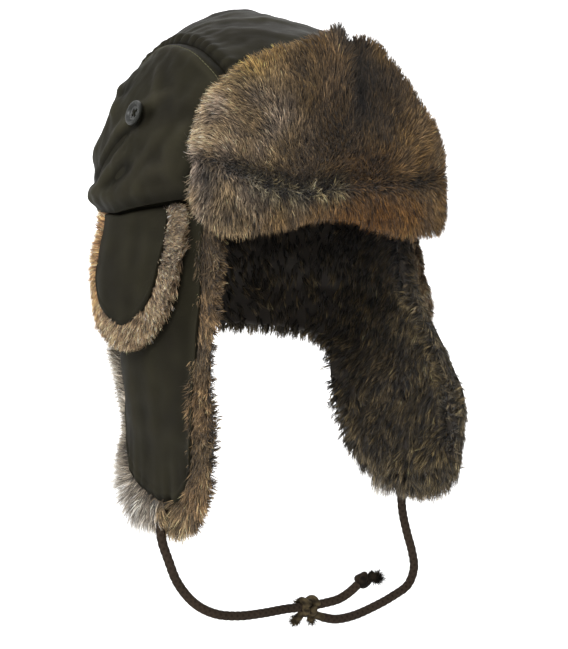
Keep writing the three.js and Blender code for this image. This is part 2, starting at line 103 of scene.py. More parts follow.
CROWN_WALL, NYLON, GAP, CORD, SIDE_BULGE, COCK = 3, 2, 0.3, 5.8, 42.5, 0.05
BUTTON = {"radius": 7.7, "thick": 3.2, "fwd": 15, "up": 68}
HEM_FWD, HEM_UP, FLAP_FUR, COVER_BACK, FRONT_LEAN = -8, 4, 11, -34, 17
STAND_TOP, STAND_LOW = 3.9, 10
CROWN = table("fwd up side midFwd midUp", [
    (82, 19, 57, 87, 19), (84, 44, 58, 88.5, 50), (80, 69, 58.5, 86, 77), (69, 86, 59.5, 75, 97),
    (51, 97, 60.5, 55, 112), (30, 105, 61, 28, 122), (2, 109, 61, -2, 129.5), (-21, 106, 61, -31, 134),
    (-44, 97.5, 61, -60, 126.5), (-69, 80, 60.5, -88, 108.5), (-88, 54, 59.5, -110, 82),
    (-95, 29, 58.5, -122, 46), (-96, 3, 58.5, -122.5, 3)])
FLAP_PLAN = table("side fwd leanRight leanLeft", [
    (0, -114, -8, -8), (33, -106.5, -8, -8), (55, -91, -8, -6), (74, -70, -9, -5), (86, -48, -10, -6),
    (91, -25, -8, -3), (90, -3, -6, 3), (86, 17, -3, 11), (79.5, 36, 1, 22), (72, 54, 6, 32)])
FLAP_EDGE = table("along right left", [
    (0, -66, -66), (60, -68, -68), (93, -71, -71), (108, -77, -76), (116, -90, -86), (121, -108, -100),
    (128, -130, -120), (140, -147, -139), (154, -157, -151), (171, -162, -157), (189, -164, -158),
    (203, -162, -153), (213, -153, -140), (219, -138, -122), (222, -116, -100)])
FLAP_FUR_EDGE = table("along right left", [
    (0, -75, -75), (58, -77, -77), (85, -80, -80), (99, -87, -86), (107, -102, -97), (112, -122, -113),
    (117, -145, -134), (127, -164, -152), (143, -175, -165), (165, -180, -172), (189, -182, -174),
    (207, -181, -169), (220, -173, -157), (228, -157, -137), (231, -132, -112)])
COVER_EDGE = table("along up", [
    (0, -24), (4, -38), (12, -48), (24, -55), (36, -57.5), (48, -54), (59, -45), (66, -32), (69.5, -14)])
COVER_FUR_EDGE = table("along up", [
    (-10, -26), (-6, -48), (4, -61), (20, -69), (36, -71.5), (52, -67), (65, -56), (76, -38), (82, -10)])
FRONT = table("side fwd deep low high crease", [
    (-82, 70, 8, 14, 60, 45), (-78.5, 76, 11.5, 5, 77, 44), (-73, 81.5, 13, 0, 88, 42),
    (-64, 87.5, 14.5, -3, 97, 37), (-45, 91.7, 16.5, 0, 106, 30), (-22, 93.7, 18, 5, 112.5, 28),
    (0, 94, 18, 6, 119, 28), (22, 93.7, 17.5, -1, 112, 28), (43, 91.7, 16, -6, 94, 28),
    (61, 87.5, 13, -7, 71, 29), (71.5, 82, 10.5, -5, 57, 31), (77.5, 76.5, 8, 0, 45, 30),
    (81, 71, 5.5, 8, 34, 24)])
CORD_RIGHT = [
    (-84.6, 28.6, -167.3), (-86, 28.4, -175), (-85.6, 28, -185), (-80.8, 27.3, -199), (-74, 26.3, -214.5),
    (-61.5, 24.3, -229), (-46.5, 22.2, -237.5), (-29.4, 19.5, -241.3), (-12, 16.9, -242.3),
    (6, 14.1, -242.3), (24, 11.3, -243.2), (38, 9.2, -243), (49, 7.5, -242), (57.5, 6.2, -238.8),
    (64, 5.2, -235)]
CORD_LEFT = [
    (98.8, 2.6, -170.2), (99.5, 1.2, -180), (101.6, -0.4, -192), (105.6, -1.2, -206), (110, -2, -219),
    (111.6, -2.1, -230.5), (106.8, -1.4, -240.6), (94, 0.5, -246.6), (78, 3.1, -251.3),
    (60.8, 5.7, -254.8), (46, 8, -254.9), (35.5, 9.6, -252)]


def row_at(T, t):
    """Every column of a table at fractional rows, by a Catmull-Rom curve."""
    n = len(next(iter(T.values())))
    t = clamp(np.asarray(t, float), 0, n - 1)
    i = np.minimum(np.floor(t).astype(int), n - 2)
    s = t - i
    out = {}
    for key, col in T.items():
        p = np.concatenate([[2 * col[0] - col[1]], col, [2 * col[-1] - col[-2]]])
        a, b, c, d = p[i], p[i + 1], p[i + 2], p[i + 3]
        out[key] = 0.5 * (2 * b + (c - a) * s + (2 * a - 5 * b + 4 * c - d) * s**2 + (3 * b - a - 3 * c + d) * s**3)
    return out


def edge_at(T, t):
    return row_at(T, np.asarray(t) * (len(next(iter(T.values()))) - 1))


def point(side, fwd, up):
    side, fwd, up = np.broadcast_arrays(side, fwd, up)
    return np.stack([side, -fwd, up], -1).astype(float)


HEART = np.array([0, 15, 10.0])


def normals(P):
    """Normals of a grid of points, away from the middle of the hat."""
    n = np.cross(np.gradient(P, axis=0), np.gradient(P, axis=1))
    size = np.linalg.norm(n, axis=-1)
    n = n / np.maximum(size, 1e-9)[..., None]
    for row in (0, -1):
        if np.median(size[:, row]) < 1e-3:
            n[:, row] = n[:, 1 if row == 0 else -2]
    if np.sum(n * (P - HEART)) < 0:
        n = -n
    return n


def uv(nu, nv, u=(0, 1), v=(0, 1)):
    return np.meshgrid(np.linspace(u[0], u[1], nu), np.linspace(v[0], v[1], nv), indexing="ij")


# ================================================================ surfaces
def hem_up(fwd):
    return np.where(fwd > HEM_FWD, lerp(HEM_UP, 19, (fwd - HEM_FWD) / 91), lerp(HEM_UP, 3, (HEM_FWD - fwd) / 89))


def hem_tuck(height):
    return 3 * (1 - smoothstep(0, 9, height))


def top_strip(u, v):
    row = edge_at(CROWN, u)
    across = 2 * v - 1
    rise = 1 - across**2
    tuck = hem_tuck(340 * np.minimum(u, 1 - u))
    fwd = lerp(row["fwd"], row["midFwd"], rise)
    side = across * (row["side"] - 0.16)
    return point(side, fwd - np.sign(fwd) * tuck, lerp(row["up"], row["midUp"], rise) - COCK * side)


def side_panel(hand, u, v):
    row = edge_at(CROWN, u)
    r = v * 0.998
    fwd, up = lerp(HEM_FWD, row["fwd"], r), lerp(HEM_UP, row["up"], r)
    stand = SIDE_BULGE * (1 - v * v) ** 0.62
    side = lerp(60.5, row["side"], v) + 0.16 + stand - hem_tuck(up - hem_up(fwd)) * (1 - v * v)
    return point(hand * side, fwd, up - COCK * hand * side)


_plan = row_at(FLAP_PLAN, np.linspace(0, 9, 361))
_plan_len = np.concatenate([[0], np.cumsum(np.hypot(np.diff(_plan["side"]), np.diff(_plan["fwd"])))])
PLAN_TOTAL = _plan_len[-1]


def plan_at(along):
    """The ear flaps' plan line at a distance along it, with its outward direction."""
    def inside(s):
        return {k: np.interp(s, _plan_len, c) for k, c in _plan.items()}
    s = clamp(along, 0.5, PLAN_TOTAL - 0.5)
    a, b = inside(s - 0.5), inside(s + 0.5)
    row = inside(clamp(along, 0, PLAN_TOTAL))
    over = along - clamp(along, 0, PLAN_TOTAL)
    ds, df = b["side"] - a["side"], b["fwd"] - a["fwd"]
    d = np.hypot(ds, df)
    ds, df = ds / d, df / d
    row["side"] = row["side"] + ds * over
    row["fwd"] = row["fwd"] + df * over
    row["outSide"], row["outFwd"] = df, -ds
    return row


def flap_face(hand, along, up, out=0.0):
    row = plan_at(along)
    depth = np.maximum(0, -up)
    lean = (row["leanRight"] if hand < 0 else row["leanLeft"]) * smoothstep(22, 120, depth)
    belly = 3.5 * np.sin(np.pi * clamp(depth / 170))
    out = lean + belly * smoothstep(118, 150, along) + out
    return point(hand * (row["side"] + row["outSide"] * out), row["fwd"] + row["outFwd"] * out, up)


def hem_over(hand, row):
    return hem_up(row["fwd"]) - COCK * hand * row["side"]


def flap_surface(hand, edge, first, tuck, u, v, drop=0.0):
    low = edge_at(edge, u)
    along = np.maximum(first, low["along"])
    top = hem_over(hand, plan_at(along)) + tuck
    up = lerp(top, low["right" if hand < 0 else "left"] + drop, v)
    return flap_face(hand, along, up), along, up


def halved(hand, P, gap=GAP / 2):
    P = P.copy()
    P[..., 0] = hand * np.maximum(hand * P[..., 0], gap)
    return P


def flap_along_at(fwd):
    a, b = 100.0, 225.0
    while b - a > 0.05:
        m = (a + b) / 2
        a, b = (m, b) if plan_at(np.array(m))["fwd"] < fwd else (a, m)
    return a


COVER_START = flap_along_at(COVER_BACK)


def cover_stand(depth):
    return lerp(STAND_TOP, STAND_LOW, smoothstep(0, 50, depth))


def cover_surface(hand, edge, u, v, drop=0.0):
    low = edge_at(edge, u)
    along = COVER_START + low["along"]
    row = plan_at(along)
    top = hem_over(hand, row) - 1.5
    up = lerp(top, low["up"] + drop, v)
    return flap_face(hand, along, up, cover_stand(top - up)), along, up


def front_back(t):
    row = edge_at(FRONT, t)
    a, b = edge_at(FRONT, clamp(t - 0.01)), edge_at(FRONT, clamp(t + 0.01))
    d = np.hypot(b["side"] - a["side"], b["fwd"] - a["fwd"])
    row["outSide"], row["outFwd"] = -(b["fwd"] - a["fwd"]) / d, (b["side"] - a["side"]) / d
    return row


def front_point(row, out, up):
    d = out - FRONT_LEAN * clamp((up - 46) / 76) ** 2
    return point(row["side"] + row["outSide"] * d, row["fwd"] + row["outFwd"] * d, up)


FRONT_SECTION = np.array([
    (0, 0.3), (0, 0.9), (0, 1.25), (0, 1.5), (0, 1.72), (0, 1.93), (0.28, 2), (0.56, 1.94), (0.74, 1.74),
    (0.8, 1.42), (0.78, 1.18), (0.66, 1), (0.92, 0.82), (1, 0.52), (0.88, 0.2), (0.48, 0)])


def front_section(s):
    """Outline of the front flap's fur at a closed parameter, in rows of the list above."""
    n = len(FRONT_SECTION)
    i = np.floor(s).astype(int)
    f = (s - i)[..., None]
    a, b, c, d = (FRONT_SECTION[(i + k) % n] for k in (-1, 0, 1, 2))
    return 0.5 * (2 * b + (c - a) * f + (2 * a - 5 * b + 4 * c - d) * f**2 + (3 * b - a - 3 * c + d) * f**3)


def front_fur(t, s, thin=0.0):
    """The fur's outline, or with thin above 0 the skin that many millimetres inside it."""
    row = front_back(t)
    end = np.sqrt(clamp(1 - np.abs(2 * t - 1) ** 14)) * 0.75 + 0.25
    sec = front_section(s)
    out, up = sec[..., 0], sec[..., 1]
    low, high, crease = row["low"] + thin, row["high"] - thin, row["crease"]
    if thin:
        crease = crease - 3.5 * bump(row["side"], -28, 20)
    height = np.where(up < 1, lerp(low, crease, up), lerp(crease, high, up - 1))
    deep = np.maximum(row["deep"] * end - thin, 1.5)
    seam_side = row["side"]
    if thin:
        face = smoothstep(1.1, 1.5, up)
        deep = deep + face * (2.2 * bump(seam_side, -2, 5) - 4.8 * bump(seam_side, 10, 5)) - 3.5 * bump(seam_side, -76, 4.5) * bump(up, 0.72, 0.3)
        deep = deep - 2.6 * bump(up, 1.0, 0.11) * smoothstep(-80, -70, seam_side) * (1 - smoothstep(20, 60, seam_side))
        height = height + (3.2 * bump(seam_side, 3, 3.5) - 3.5 * bump(seam_side, 11, 4) + 5.0 * bump(seam_side, 27, 12)) * smoothstep(1.6, 1.95, up)
    return front_point(row, np.maximum(out * deep, 0.2 if thin else 0.0), height)


# ================================================================ meshes
def build(name, verts, quads=None, tris=None, smooth=True, colours=None):
    """A mesh from arrays of points in millimetres and faces."""
    mesh = bpy.data.meshes.new(name)
    verts = np.asarray(verts, np.float32) * MM
    quads = np.zeros((0, 4), int) if quads is None else quads
    tris = np.zeros((0, 3), int) if tris is None else tris
    mesh.vertices.add(len(verts))
    mesh.vertices.foreach_set("co", verts.ravel())
    loops = np.concatenate([quads.ravel(), tris.ravel()]).astype(np.int32)
    mesh.loops.add(len(loops))
    mesh.loops.foreach_set("vertex_index", loops)
    starts = np.concatenate([np.arange(len(quads)) * 4, len(quads) * 4 + np.arange(len(tris)) * 3])
    mesh.polygons.add(len(starts))
    mesh.polygons.foreach_set("loop_start", starts.astype(np.int32))
    mesh.polygons.foreach_set("use_smooth", np.full(len(starts), smooth))
    mesh.update(calc_edges=True)
    mesh.validate()
    if colours is not None:
        attribute = mesh.color_attributes.new("tint", "FLOAT_COLOR", "POINT")
        rgba = np.concatenate([colours, np.ones((len(colours), 1))], 1).astype(np.float32)
        attribute.data.foreach_set("color", rgba.ravel())
    obj = bpy.data.objects.new(name, mesh)
    scene.collection.objects.link(obj)
    return obj


def grid_quads(nu, nv, first=0, closed_v=False):
    i = np.arange(nu - 1)[:, None] * nv
    j = np.arange(nv if closed_v else nv - 1)[None, :]
    k = (j + 1) % nv
    a, b, c, d = i + j, i + nv + j, i + nv + k, i + k
    return (np.stack([a, b, c, d], -1).reshape(-1, 4) + first).astype(int)


def wall_arrays(outer, inner, round_rim=0.35):
    """A closed wall between two grids of points, with rounded rims."""
    nu, nv = outer.shape[:2]
    ij = [(i, 0) for i in range(nu)] + [(nu - 1, j) for j in range(1, nv)]
    ij += [(i, nv - 1) for i in range(nu - 2, -1, -1)] + [(0, j) for j in range(nv - 2, 0, -1)]
    ij = np.array(ij)
    back = ij.copy()
    back[:, 0] = np.clip(back[:, 0], 1, nu - 2)
    back[:, 1] = np.clip(back[:, 1], 1, nv - 2)
    o, n = outer[ij[:, 0], ij[:, 1]], inner[ij[:, 0], ij[:, 1]]
    away = unit(o - outer[back[:, 0], back[:, 1]])
    mid = (o + n) / 2 + away * np.linalg.norm(o - n, axis=1, keepdims=True) * round_rim
    verts = np.concatenate([outer.reshape(-1, 3), inner.reshape(-1, 3), mid])
    quads = [grid_quads(nu, nv), grid_quads(nu, nv, nu * nv)[:, ::-1]]
    k = np.arange(len(ij))
    k1 = (k + 1) % len(ij)
    po = ij[:, 0] * nv + ij[:, 1]
    pi = po + nu * nv
    pm = 2 * nu * nv + k
    quads.append(np.stack([po[k1], po[k], pm[k], pm[k1]], -1))
    quads.append(np.stack([pm[k1], pm[k], pi[k], pi[k1]], -1))
    quads = np.concatenate(quads)
    f = quads[len(quads) // 4]
    n = np.cross(verts[f[1]] - verts[f[0]], verts[f[2]] - verts[f[1]])
    if np.dot(n, verts[f[0]] - HEART) < 0:
        quads = quads[:, ::-1]
    return verts, quads


def tube_arrays(path, radius, sides=16, cap=True, relief=None):
    """A tube along points, with an optional relief(turn 0..1, distance) added to its radius."""
    path = np.asarray(path, float)
    step = np.gradient(path, axis=0)
    t = unit(step)
    dist = np.concatenate([[0], np.cumsum(np.linalg.norm(np.diff(path, axis=0), axis=1))])
    a = np.zeros_like(path)
    ref = np.array([0, 0, 1.0]) if abs(t[0][2]) < 0.9 else np.array([1.0, 0, 0])
    a[0] = unit(np.cross(t[0], ref))
    for i in range(1, len(path)):
        a[i] = unit(a[i - 1] - t[i] * np.dot(a[i - 1], t[i]))
    b = np.cross(t, a)
    turn = np.arange(sides) / sides
    c, s = np.cos(2 * np.pi * turn), np.sin(2 * np.pi * turn)
    r = np.broadcast_to(np.asarray(radius, float).reshape(-1, 1), (len(path), sides)).copy()
    if relief is not None:
        r = r + relief(turn[None, :], dist[:, None])
    ring = path[:, None] + r[..., None] * (a[:, None] * c[None, :, None] + b[:, None] * s[None, :, None])
    verts = ring.reshape(-1, 3)
    quads = grid_quads(len(path), sides, closed_v=True)
    tris = np.zeros((0, 3), int)
    if cap:
        n = len(verts)
        verts = np.concatenate([verts, path[:1] - t[:1] * 0.2, path[-1:] + t[-1:] * 0.2])
        k = np.arange(sides)
        k1 = (k + 1) % sides
        last = (len(path) - 1) * sides
        tris = np.concatenate([
            np.stack([np.full(sides, n), k, k1], -1),
            np.stack([np.full(sides, n + 1), last + k1, last + k], -1)])
    return verts, quads, tris


def merged(parts):
    """Joins lists of (verts, quads, tris) into one."""
    verts, quads, tris, n = [], [], [], 0
    for v, q, t in parts:
        verts.append(v)
        if q is not None and len(q):
            quads.append(q + n)
        if t is not None and len(t):
            tris.append(t + n)
        n += len(v)
    return (np.concatenate(verts),
            np.concatenate(quads) if quads else np.zeros((0, 4), int),
            np.concatenate(tris) if tris else np.zeros((0, 3), int))


# ================================================================ materials
def material(name, roughness, specular=0.5, sheen=0.0, sheen_roughness=0.4):
    m = bpy.data.materials.new(name)
    m.use_nodes = True
    nodes = m.node_tree.nodes
    shader = nodes["Principled BSDF"]
    shader.inputs["Roughness"].default_value = roughness
    shader.inputs["Specular IOR Level"].default_value = specular
    shader.inputs["Sheen Weight"].default_value = sheen
    shader.inputs["Sheen Roughness"].default_value = sheen_roughness
    return m, nodes, m.node_tree.links, shader


def noise(nodes, links, where, scale, detail=3.0, rough=0.5):
    n = nodes.new("ShaderNodeTexNoise")
    n.inputs["Scale"].default_value = scale
    n.inputs["Detail"].default_value = detail
    n.inputs["Roughness"].default_value = rough
    links.new(where, n.inputs["Vector"])
    return n.outputs["Fac"]


def ramp(nodes, links, fac, stops):
    r = nodes.new("ShaderNodeValToRGB")
    while len(r.color_ramp.elements) < len(stops):
        r.color_ramp.elements.new(0.5)
    for e, (pos, colour) in zip(r.color_ramp.elements, stops):
        e.position = pos
        e.color = (*colour, 1)
    links.new(fac, r.inputs["Fac"])
    return r.outputs["Color"]


def bumps(nodes, links, shader, layers):
    """Chains bump nodes: each layer is (height output, strength, distance in metres)."""
    normal = None
    for height, strength, distance in layers:
        b = nodes.new("ShaderNodeBump")
        b.inputs["Strength"].default_value = strength
        b.inputs["Distance"].default_value = distance
        links.new(height, b.inputs["Height"])
        if normal is not None:
            links.new(normal, b.inputs["Normal"])
        normal = b.outputs["Normal"]
    links.new(normal, shader.inputs["Normal"])


def nylon_material(name, dark, light):
    m, nodes, links, shader = material(name, 0.56, 0.018, 0.0, 0.35)
    at = nodes.new("ShaderNodeTexCoord").outputs["Object"]
    broad = noise(nodes, links, at, 38, 4)
    # The vertex tint multiplies in painted shade in the cloth's hollows and painted light on its ridges.
    tint = nodes.new("ShaderNodeVertexColor")
    tint.layer_name = "tint"
    mix = nodes.new("ShaderNodeMix")
    mix.data_type = "RGBA"
    mix.blend_type = "MULTIPLY"
    mix.inputs["Factor"].default_value = 1.0
    links.new(ramp(nodes, links, broad, [(0.3, dark), (0.72, light)]), mix.inputs[6])
    links.new(tint.outputs["Color"], mix.inputs[7])
    links.new(mix.outputs[2], shader.inputs["Base Color"])
    rough = nodes.new("ShaderNodeMapRange")
    rough.inputs["To Min"].default_value = 0.46
    rough.inputs["To Max"].default_value = 0.62
    links.new(noise(nodes, links, at, 120, 3), rough.inputs["Value"])
    links.new(rough.outputs["Result"], shader.inputs["Roughness"])
    weave = []
    for direction in ("DIAGONAL", "Z"):
        w = nodes.new("ShaderNodeTexWave")
        w.bands_direction = direction
        w.inputs["Scale"].default_value = 420
        w.inputs["Distortion"].default_value = 0.6
        links.new(at, w.inputs["Vector"])
        weave.append(w.outputs["Fac"])
    bumps(nodes, links, shader, [
        (noise(nodes, links, at, 34, 3, 0.45), 0.42, 0.002),
        (noise(nodes, links, at, 520, 2), 0.12, 0.0003),
        (weave[0], 0.16, 0.00016), (weave[1], 0.16, 0.00016)])
    return m


NYLON_DARK, NYLON_LIGHT = srgb(31, 29, 23), srgb(37, 35, 26)
nylon = nylon_material("olive nylon", NYLON_DARK, NYLON_LIGHT)


def tinted_material(name, roughness, specular, scale, strength, sheen=0.0):
    """Takes its colour from the mesh's own tint, broken up by a fine noise."""
    m, nodes, links, shader = material(name, roughness, specular, sheen, 0.5)
    tint = nodes.new("ShaderNodeVertexColor")
    tint.layer_name = "tint"
    at = nodes.new("ShaderNodeTexCoord").outputs["Object"]
    fine = noise(nodes, links, at, scale, 2)
    grey = ramp(nodes, links, fine, [(0.25, (0.72, 0.72, 0.72)), (0.75, (1, 1, 1))])
    mix = nodes.new("ShaderNodeMix")
    mix.data_type = "RGBA"
    mix.blend_type = "MULTIPLY"
    mix.inputs["Factor"].default_value = 1.0
    links.new(tint.outputs["Color"], mix.inputs[6])
    links.new(grey, mix.inputs[7])
    links.new(mix.outputs[2], shader.inputs["Base Color"])
    if strength:
        bumps(nodes, links, shader, [(fine, strength, 0.0004)])
    return m


fur_hair = tinted_material("rabbit fur", 0.62, 0.3, 900, 0.0, 0.15)
cord_fibre = tinted_material("braided cord", 0.85, 0.08, 1600, 0.5)


def plastic_material():
    m, nodes, links, shader = material("dark plastic", 0.42, 0.4)
    at = nodes.new("ShaderNodeTexCoord").outputs["Object"]
    links.new(ramp(nodes, links, noise(nodes, links, at, 260, 3), [(0.3, srgb(18, 19, 15)), (0.8, srgb(31, 32, 26))]), shader.inputs["Base Color"])
    bumps(nodes, links, shader, [(noise(nodes, links, at, 900, 2), 0.15, 0.0002)])
    return m


button_plastic = plastic_material()


def painted_fold_shade(verts, shade, gain=1.0):
    """Painted shade and painted light for a cloth: colours that darken its hollows and lighten its ridges; the far side
    stays plain.
    """
    value = np.ones(len(verts))
    value[:shade.size] = clamp(1 + gain * shade.ravel(), 0.45, 1.75)
    return np.repeat(value[:, None], 3, 1)


def give(obj, mat, slot, *nodes):
    obj.data.materials.append(mat)
    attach(obj, "root")
    if nodes:
        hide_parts(*nodes)
    return obj


def smooth_by_angle(obj, angle=50):
    obj.data.set_sharp_from_angle(angle=math.radians(angle))


# ================================================================ cords
def catmull_path(rows, steps):
    """The curve of the CAD's route: centripetal Catmull-Rom through its points."""
    P = np.array([(s, -f, u) for s, f, u in rows], float)
    P = np.concatenate([[2 * P[0] - P[1]], P, [2 * P[-1] - P[-2]]])
    out = []
    for i in range(1, len(P) - 2):
        p = P[i - 1:i + 3]
        k = np.concatenate([[0], np.cumsum(np.linalg.norm(np.diff(p, axis=0), axis=1) ** 0.5)])
        for t in np.linspace(k[1], k[2], steps, endpoint=False):
            a = [p[j] * (k[j + 1] - t) / (k[j + 1] - k[j]) + p[j + 1] * (t - k[j]) / (k[j + 1] - k[j]) for j in range(3)]
            b = [a[j] * (k[j + 2] - t) / (k[j + 2] - k[j]) + a[j + 1] * (t - k[j]) / (k[j + 2] - k[j]) for j in range(2)]
            out.append(b[0] * (k[2] - t) / (k[2] - k[1]) + b[1] * (t - k[1]) / (k[2] - k[1]))
    out.append(P[-2])
    return np.array(out)


def resample(path, step):
    d = np.concatenate([[0], np.cumsum(np.linalg.norm(np.diff(path, axis=0), axis=1))])
    s = np.linspace(0, d[-1], max(2, int(round(d[-1] / step)) + 1))
    return np.stack([np.interp(s, d, path[:, k]) for k in range(3)], -1), d[-1]


def braid(turn, dist):
    """Relief of a round braid: strands that cross each other in two directions."""
    a = np.sin(2 * np.pi * (4 * turn + dist / 4.4))
    b = np.sin(2 * np.pi * (4 * turn - dist / 4.4))
    return 0.2 * (np.maximum(a, b) - 0.55)


CORD_DARK, CORD_MID, CORD_LIGHT = srgb(37, 30, 24), srgb(53, 43, 35), srgb(71, 60, 48)


def cord_tint(verts, relief_share, seed):
    """Painted shade in the hollows of the braid and painted light on its crests, over broad uneven patches of the
    cord's own tone.
    """
    patch = 0.5 + 0.22 * Waves(seed, 22)(verts)
    base = lerp(CORD_DARK, CORD_MID, clamp(patch)[:, None])
    return lerp(base * 0.7, lerp(base, CORD_LIGHT, 0.25), clamp(relief_share)[:, None])


def make_cord(name, rows, node, seed):
    path, length = resample(catmull_path(rows, 14), 0.55)
    verts, quads, tris = tube_arrays(path, CORD / 2 - 0.02, 22, True, braid)
    turn = np.arange(22)[None, :] / 22
    dist = np.linspace(0, length, len(path))[:, None]
    # share: how far each point stands out on the braid, which sets its painted shade and light
    share = ((braid(turn, dist) / 0.2 + 1.0) / 1.3).reshape(-1)
    share = np.concatenate([share, [0.5, 0.5]])
    obj = build(name, verts, quads, tris, True, cord_tint(verts, share, seed))
    give(obj, cord_fibre, "cord", node)
    return obj, path


def knot_arrays(centre, ahead, size, thick):
    """A small overhand knot: a closed trefoil of cord, its axis along ahead."""
    t = np.linspace(0, 2 * np.pi, 150)
    x = np.sin(t) + 2 * np.sin(2 * t)
    y = np.cos(t) - 2 * np.cos(2 * t)
    z = -np.sin(3 * t)
    k = np.stack([x, y, z * 1.15], -1) * size / 3.0
    ahead = unit(ahead)
    side = unit(np.cross(ahead, [0.1, 0.2, 1.0]))
    up = np.cross(side, ahead)
    k = k[:, 0:1] * side + k[:, 1:2] * up + k[:, 2:3] * ahead * 1.6
    return tube_arrays(centre + k, thick, 14, False, lambda turn, d: 0.5 * braid(turn, d))


def fray(rng, origin, ahead, count, length, spread, width, wave=0.3):
    """Loose fibres of a cord's cut end: thin bent blades."""
    d = unit(ahead + rng.normal(size=(count, 3)) * spread)
    r = origin + rng.normal(size=(count, 3)) * 1.1
    n = length * rng.uniform(0.55, 1.1, (count, 1))
    m = r + d * n * 0.5 + rng.normal(size=(count, 3)) * wave
    e = m + unit(d + rng.normal(size=(count, 3)) * wave) * n * 0.5
    w = unit(np.cross(d, rng.normal(size=(count, 3)))) * width / 2
    verts = np.stack([r - w, r + w, m + w * 0.9, m - w * 0.9, e], 1).reshape(-1, 3)
    k = np.arange(count)[:, None] * 5
    return verts, k + np.array([[0, 1, 2, 3]]), k + np.array([[3, 2, 4]])


right_path, right_length = resample(catmull_path(CORD_RIGHT, 14), 0.55)
left_path, left_length = resample(catmull_path(CORD_LEFT, 14), 0.55)


def make_knot(name, node, parts, seed, dark, light):
    verts, quads, tris = merged(parts)
    patch = clamp(0.5 + 0.35 * Waves(seed, 5)(verts))[:, None]
    obj = build(name, verts, quads, tris, True, lerp(dark, light, patch))
    return give(obj, cord_fibre, "knot", node)


def knot_loop(centre, axis, radius, thick):
    """One turn of cord round an axis."""
    axis = unit(axis)
    u = unit(np.cross(axis, [0.1, 0.2, 1.0]))
    w = np.cross(axis, u)
    a = np.linspace(0, 2 * np.pi, 48)[:, None]
    return tube_arrays(centre + (u * np.cos(a) + w * np.sin(a)) * radius + axis * (a / np.pi - 1) * thick * 0.6, thick, 14, True,
                       lambda turn, d: 0.5 * braid(turn, d))


def straight(start, toward, length, thick_a, thick_b, bend=(0, 0, 0)):
    """A short length of cord from a point, bent a little."""
    t = np.linspace(0, 1, 12)[:, None]
    return tube_arrays(start + toward * t * length + np.array(bend) * t**2, np.linspace(thick_a, thick_b, 12), 14, True,
                       lambda turn, d: 0.5 * braid(turn, d))


rng = np.random.default_rng(11)
end, ahead = right_path[-1], unit(right_path[-1] - right_path[-6])
SIDEWAYS = unit(np.array([0.885, -0.465, 0.12]))
knot_right = make_knot("knot_right", "chin_knot_right", [
    straight(end, ahead, 5.5, 2.5, 2.5),
    knot_arrays(end + ahead * 5.4, ahead, 3.3, 2.5),
    knot_loop(end + ahead * 4.6, ahead, 2.6, 2.3),
    straight(end + ahead * 6, SIDEWAYS, 8.5, 2.4, 3.0, (0, 0, 0.6)),
    fray(rng, end + ahead * 6 + SIDEWAYS * 7.0, SIDEWAYS, 620, 7.0, 0.55, 0.36),
    straight(end + ahead * 6 + SIDEWAYS * 3, unit(SIDEWAYS + np.array([0, 0, 0.9])), 5.5, 2.2, 2.5),
    fray(rng, end + ahead * 6 + SIDEWAYS * 4.0, unit(SIDEWAYS + np.array([0, 0, 0.9])), 180, 4.5, 0.5, 0.32),
], 5, srgb(17, 14, 11), srgb(44, 36, 28))

k24 = int(np.argmin(np.abs(right_path[:, 0] - 24)))
near = right_path[k24]
along = unit(right_path[k24 + 6] - right_path[k24 - 6])
LEFT_END = left_path[-1]
tail = unit(np.array([-0.62, 0.2, -0.7]))
tail_b = unit(np.array([0.1, -0.05, -1.0]))
knot_left = make_knot("knot_left", "chin_knot_left", [
    knot_arrays(near - along * 1.6, along, 3.6, 2.5),
    knot_loop(near + along * 3.0, along, 4.6, 2.4),
    knot_loop(near - along * 3.4, along + np.array([0, 0, 0.35]), 4.4, 2.3),
    straight(LEFT_END, unit(near + np.array([2, 0, -4.5]) - LEFT_END), float(np.linalg.norm(near + np.array([2, 0, -4.5]) - LEFT_END)), 2.75, 2.6, (0, 0, 0)),
    straight(near + np.array([-3, 0, -3]), tail, 7.5, 2.3, 2.8),
    straight(near + np.array([2, 0, -4]), tail_b, 5.0, 2.3, 2.7),
    fray(rng, near + np.array([-3, 0, -3]) + tail * 6.5, tail, 420, 5.2, 0.55, 0.36),
    fray(rng, near + np.array([2, 0, -4]) + tail_b * 4.2, tail_b, 320, 4.4, 0.6, 0.36),
    fray(rng, near + np.array([-5, 1, 2]), unit(np.array([-1, 0.3, 0.2])), 240, 4.4, 0.6, 0.34),
], 6, srgb(30, 25, 18), srgb(82, 71, 51))

make_cord("cord_right", CORD_RIGHT, "chin_cord_right", 21)
make_cord("cord_left", CORD_LEFT, "chin_cord_left", 22)


# ================================================================ crown
# Soft folds of the side panel: from one point to another (fwd, up), half width and height.
SIDE_FOLDS = table("fwd up toFwd toUp width rise", [
    (40, 78, -20, 44, 4, 1.5), (34, 64, -50, 20, 4, -1.4), (48, 52, 4, 22, 4, 1.2), (6, 44, -66, 10, 3.5, 1.5),
    (-30, 74, -70, 30, 5, 1.3), (-12, 88, -44, 66, 4, -1.1), (60, 60, 52, 26, 5, 1.3), (20, 30, -30, 12, 4, -1.0),
    (-52, 58, -84, 22, 3, -1.9), (-62, 62, -88, 32, 3, 1.7), (-70, 30, -92, 8, 3, 1.6), (4, 92, 34, 72, 4, 1.1), (70, 40, 66, 20, 4, -1.0), (22, 62, -40, 30, 3.5, 1.6),
    (-46, 44, -80, 34, 4, 1.4), (10, 52, -72, 20, 3, -1.7), (14, 46, -62, 9, 2.4, 0.9), (-10, 22, -60, 14, 3.5, 1.3), (-20, 66, -56, 84, 4, 1.3), (50, 30, 20, 18, 4, 1.2)])
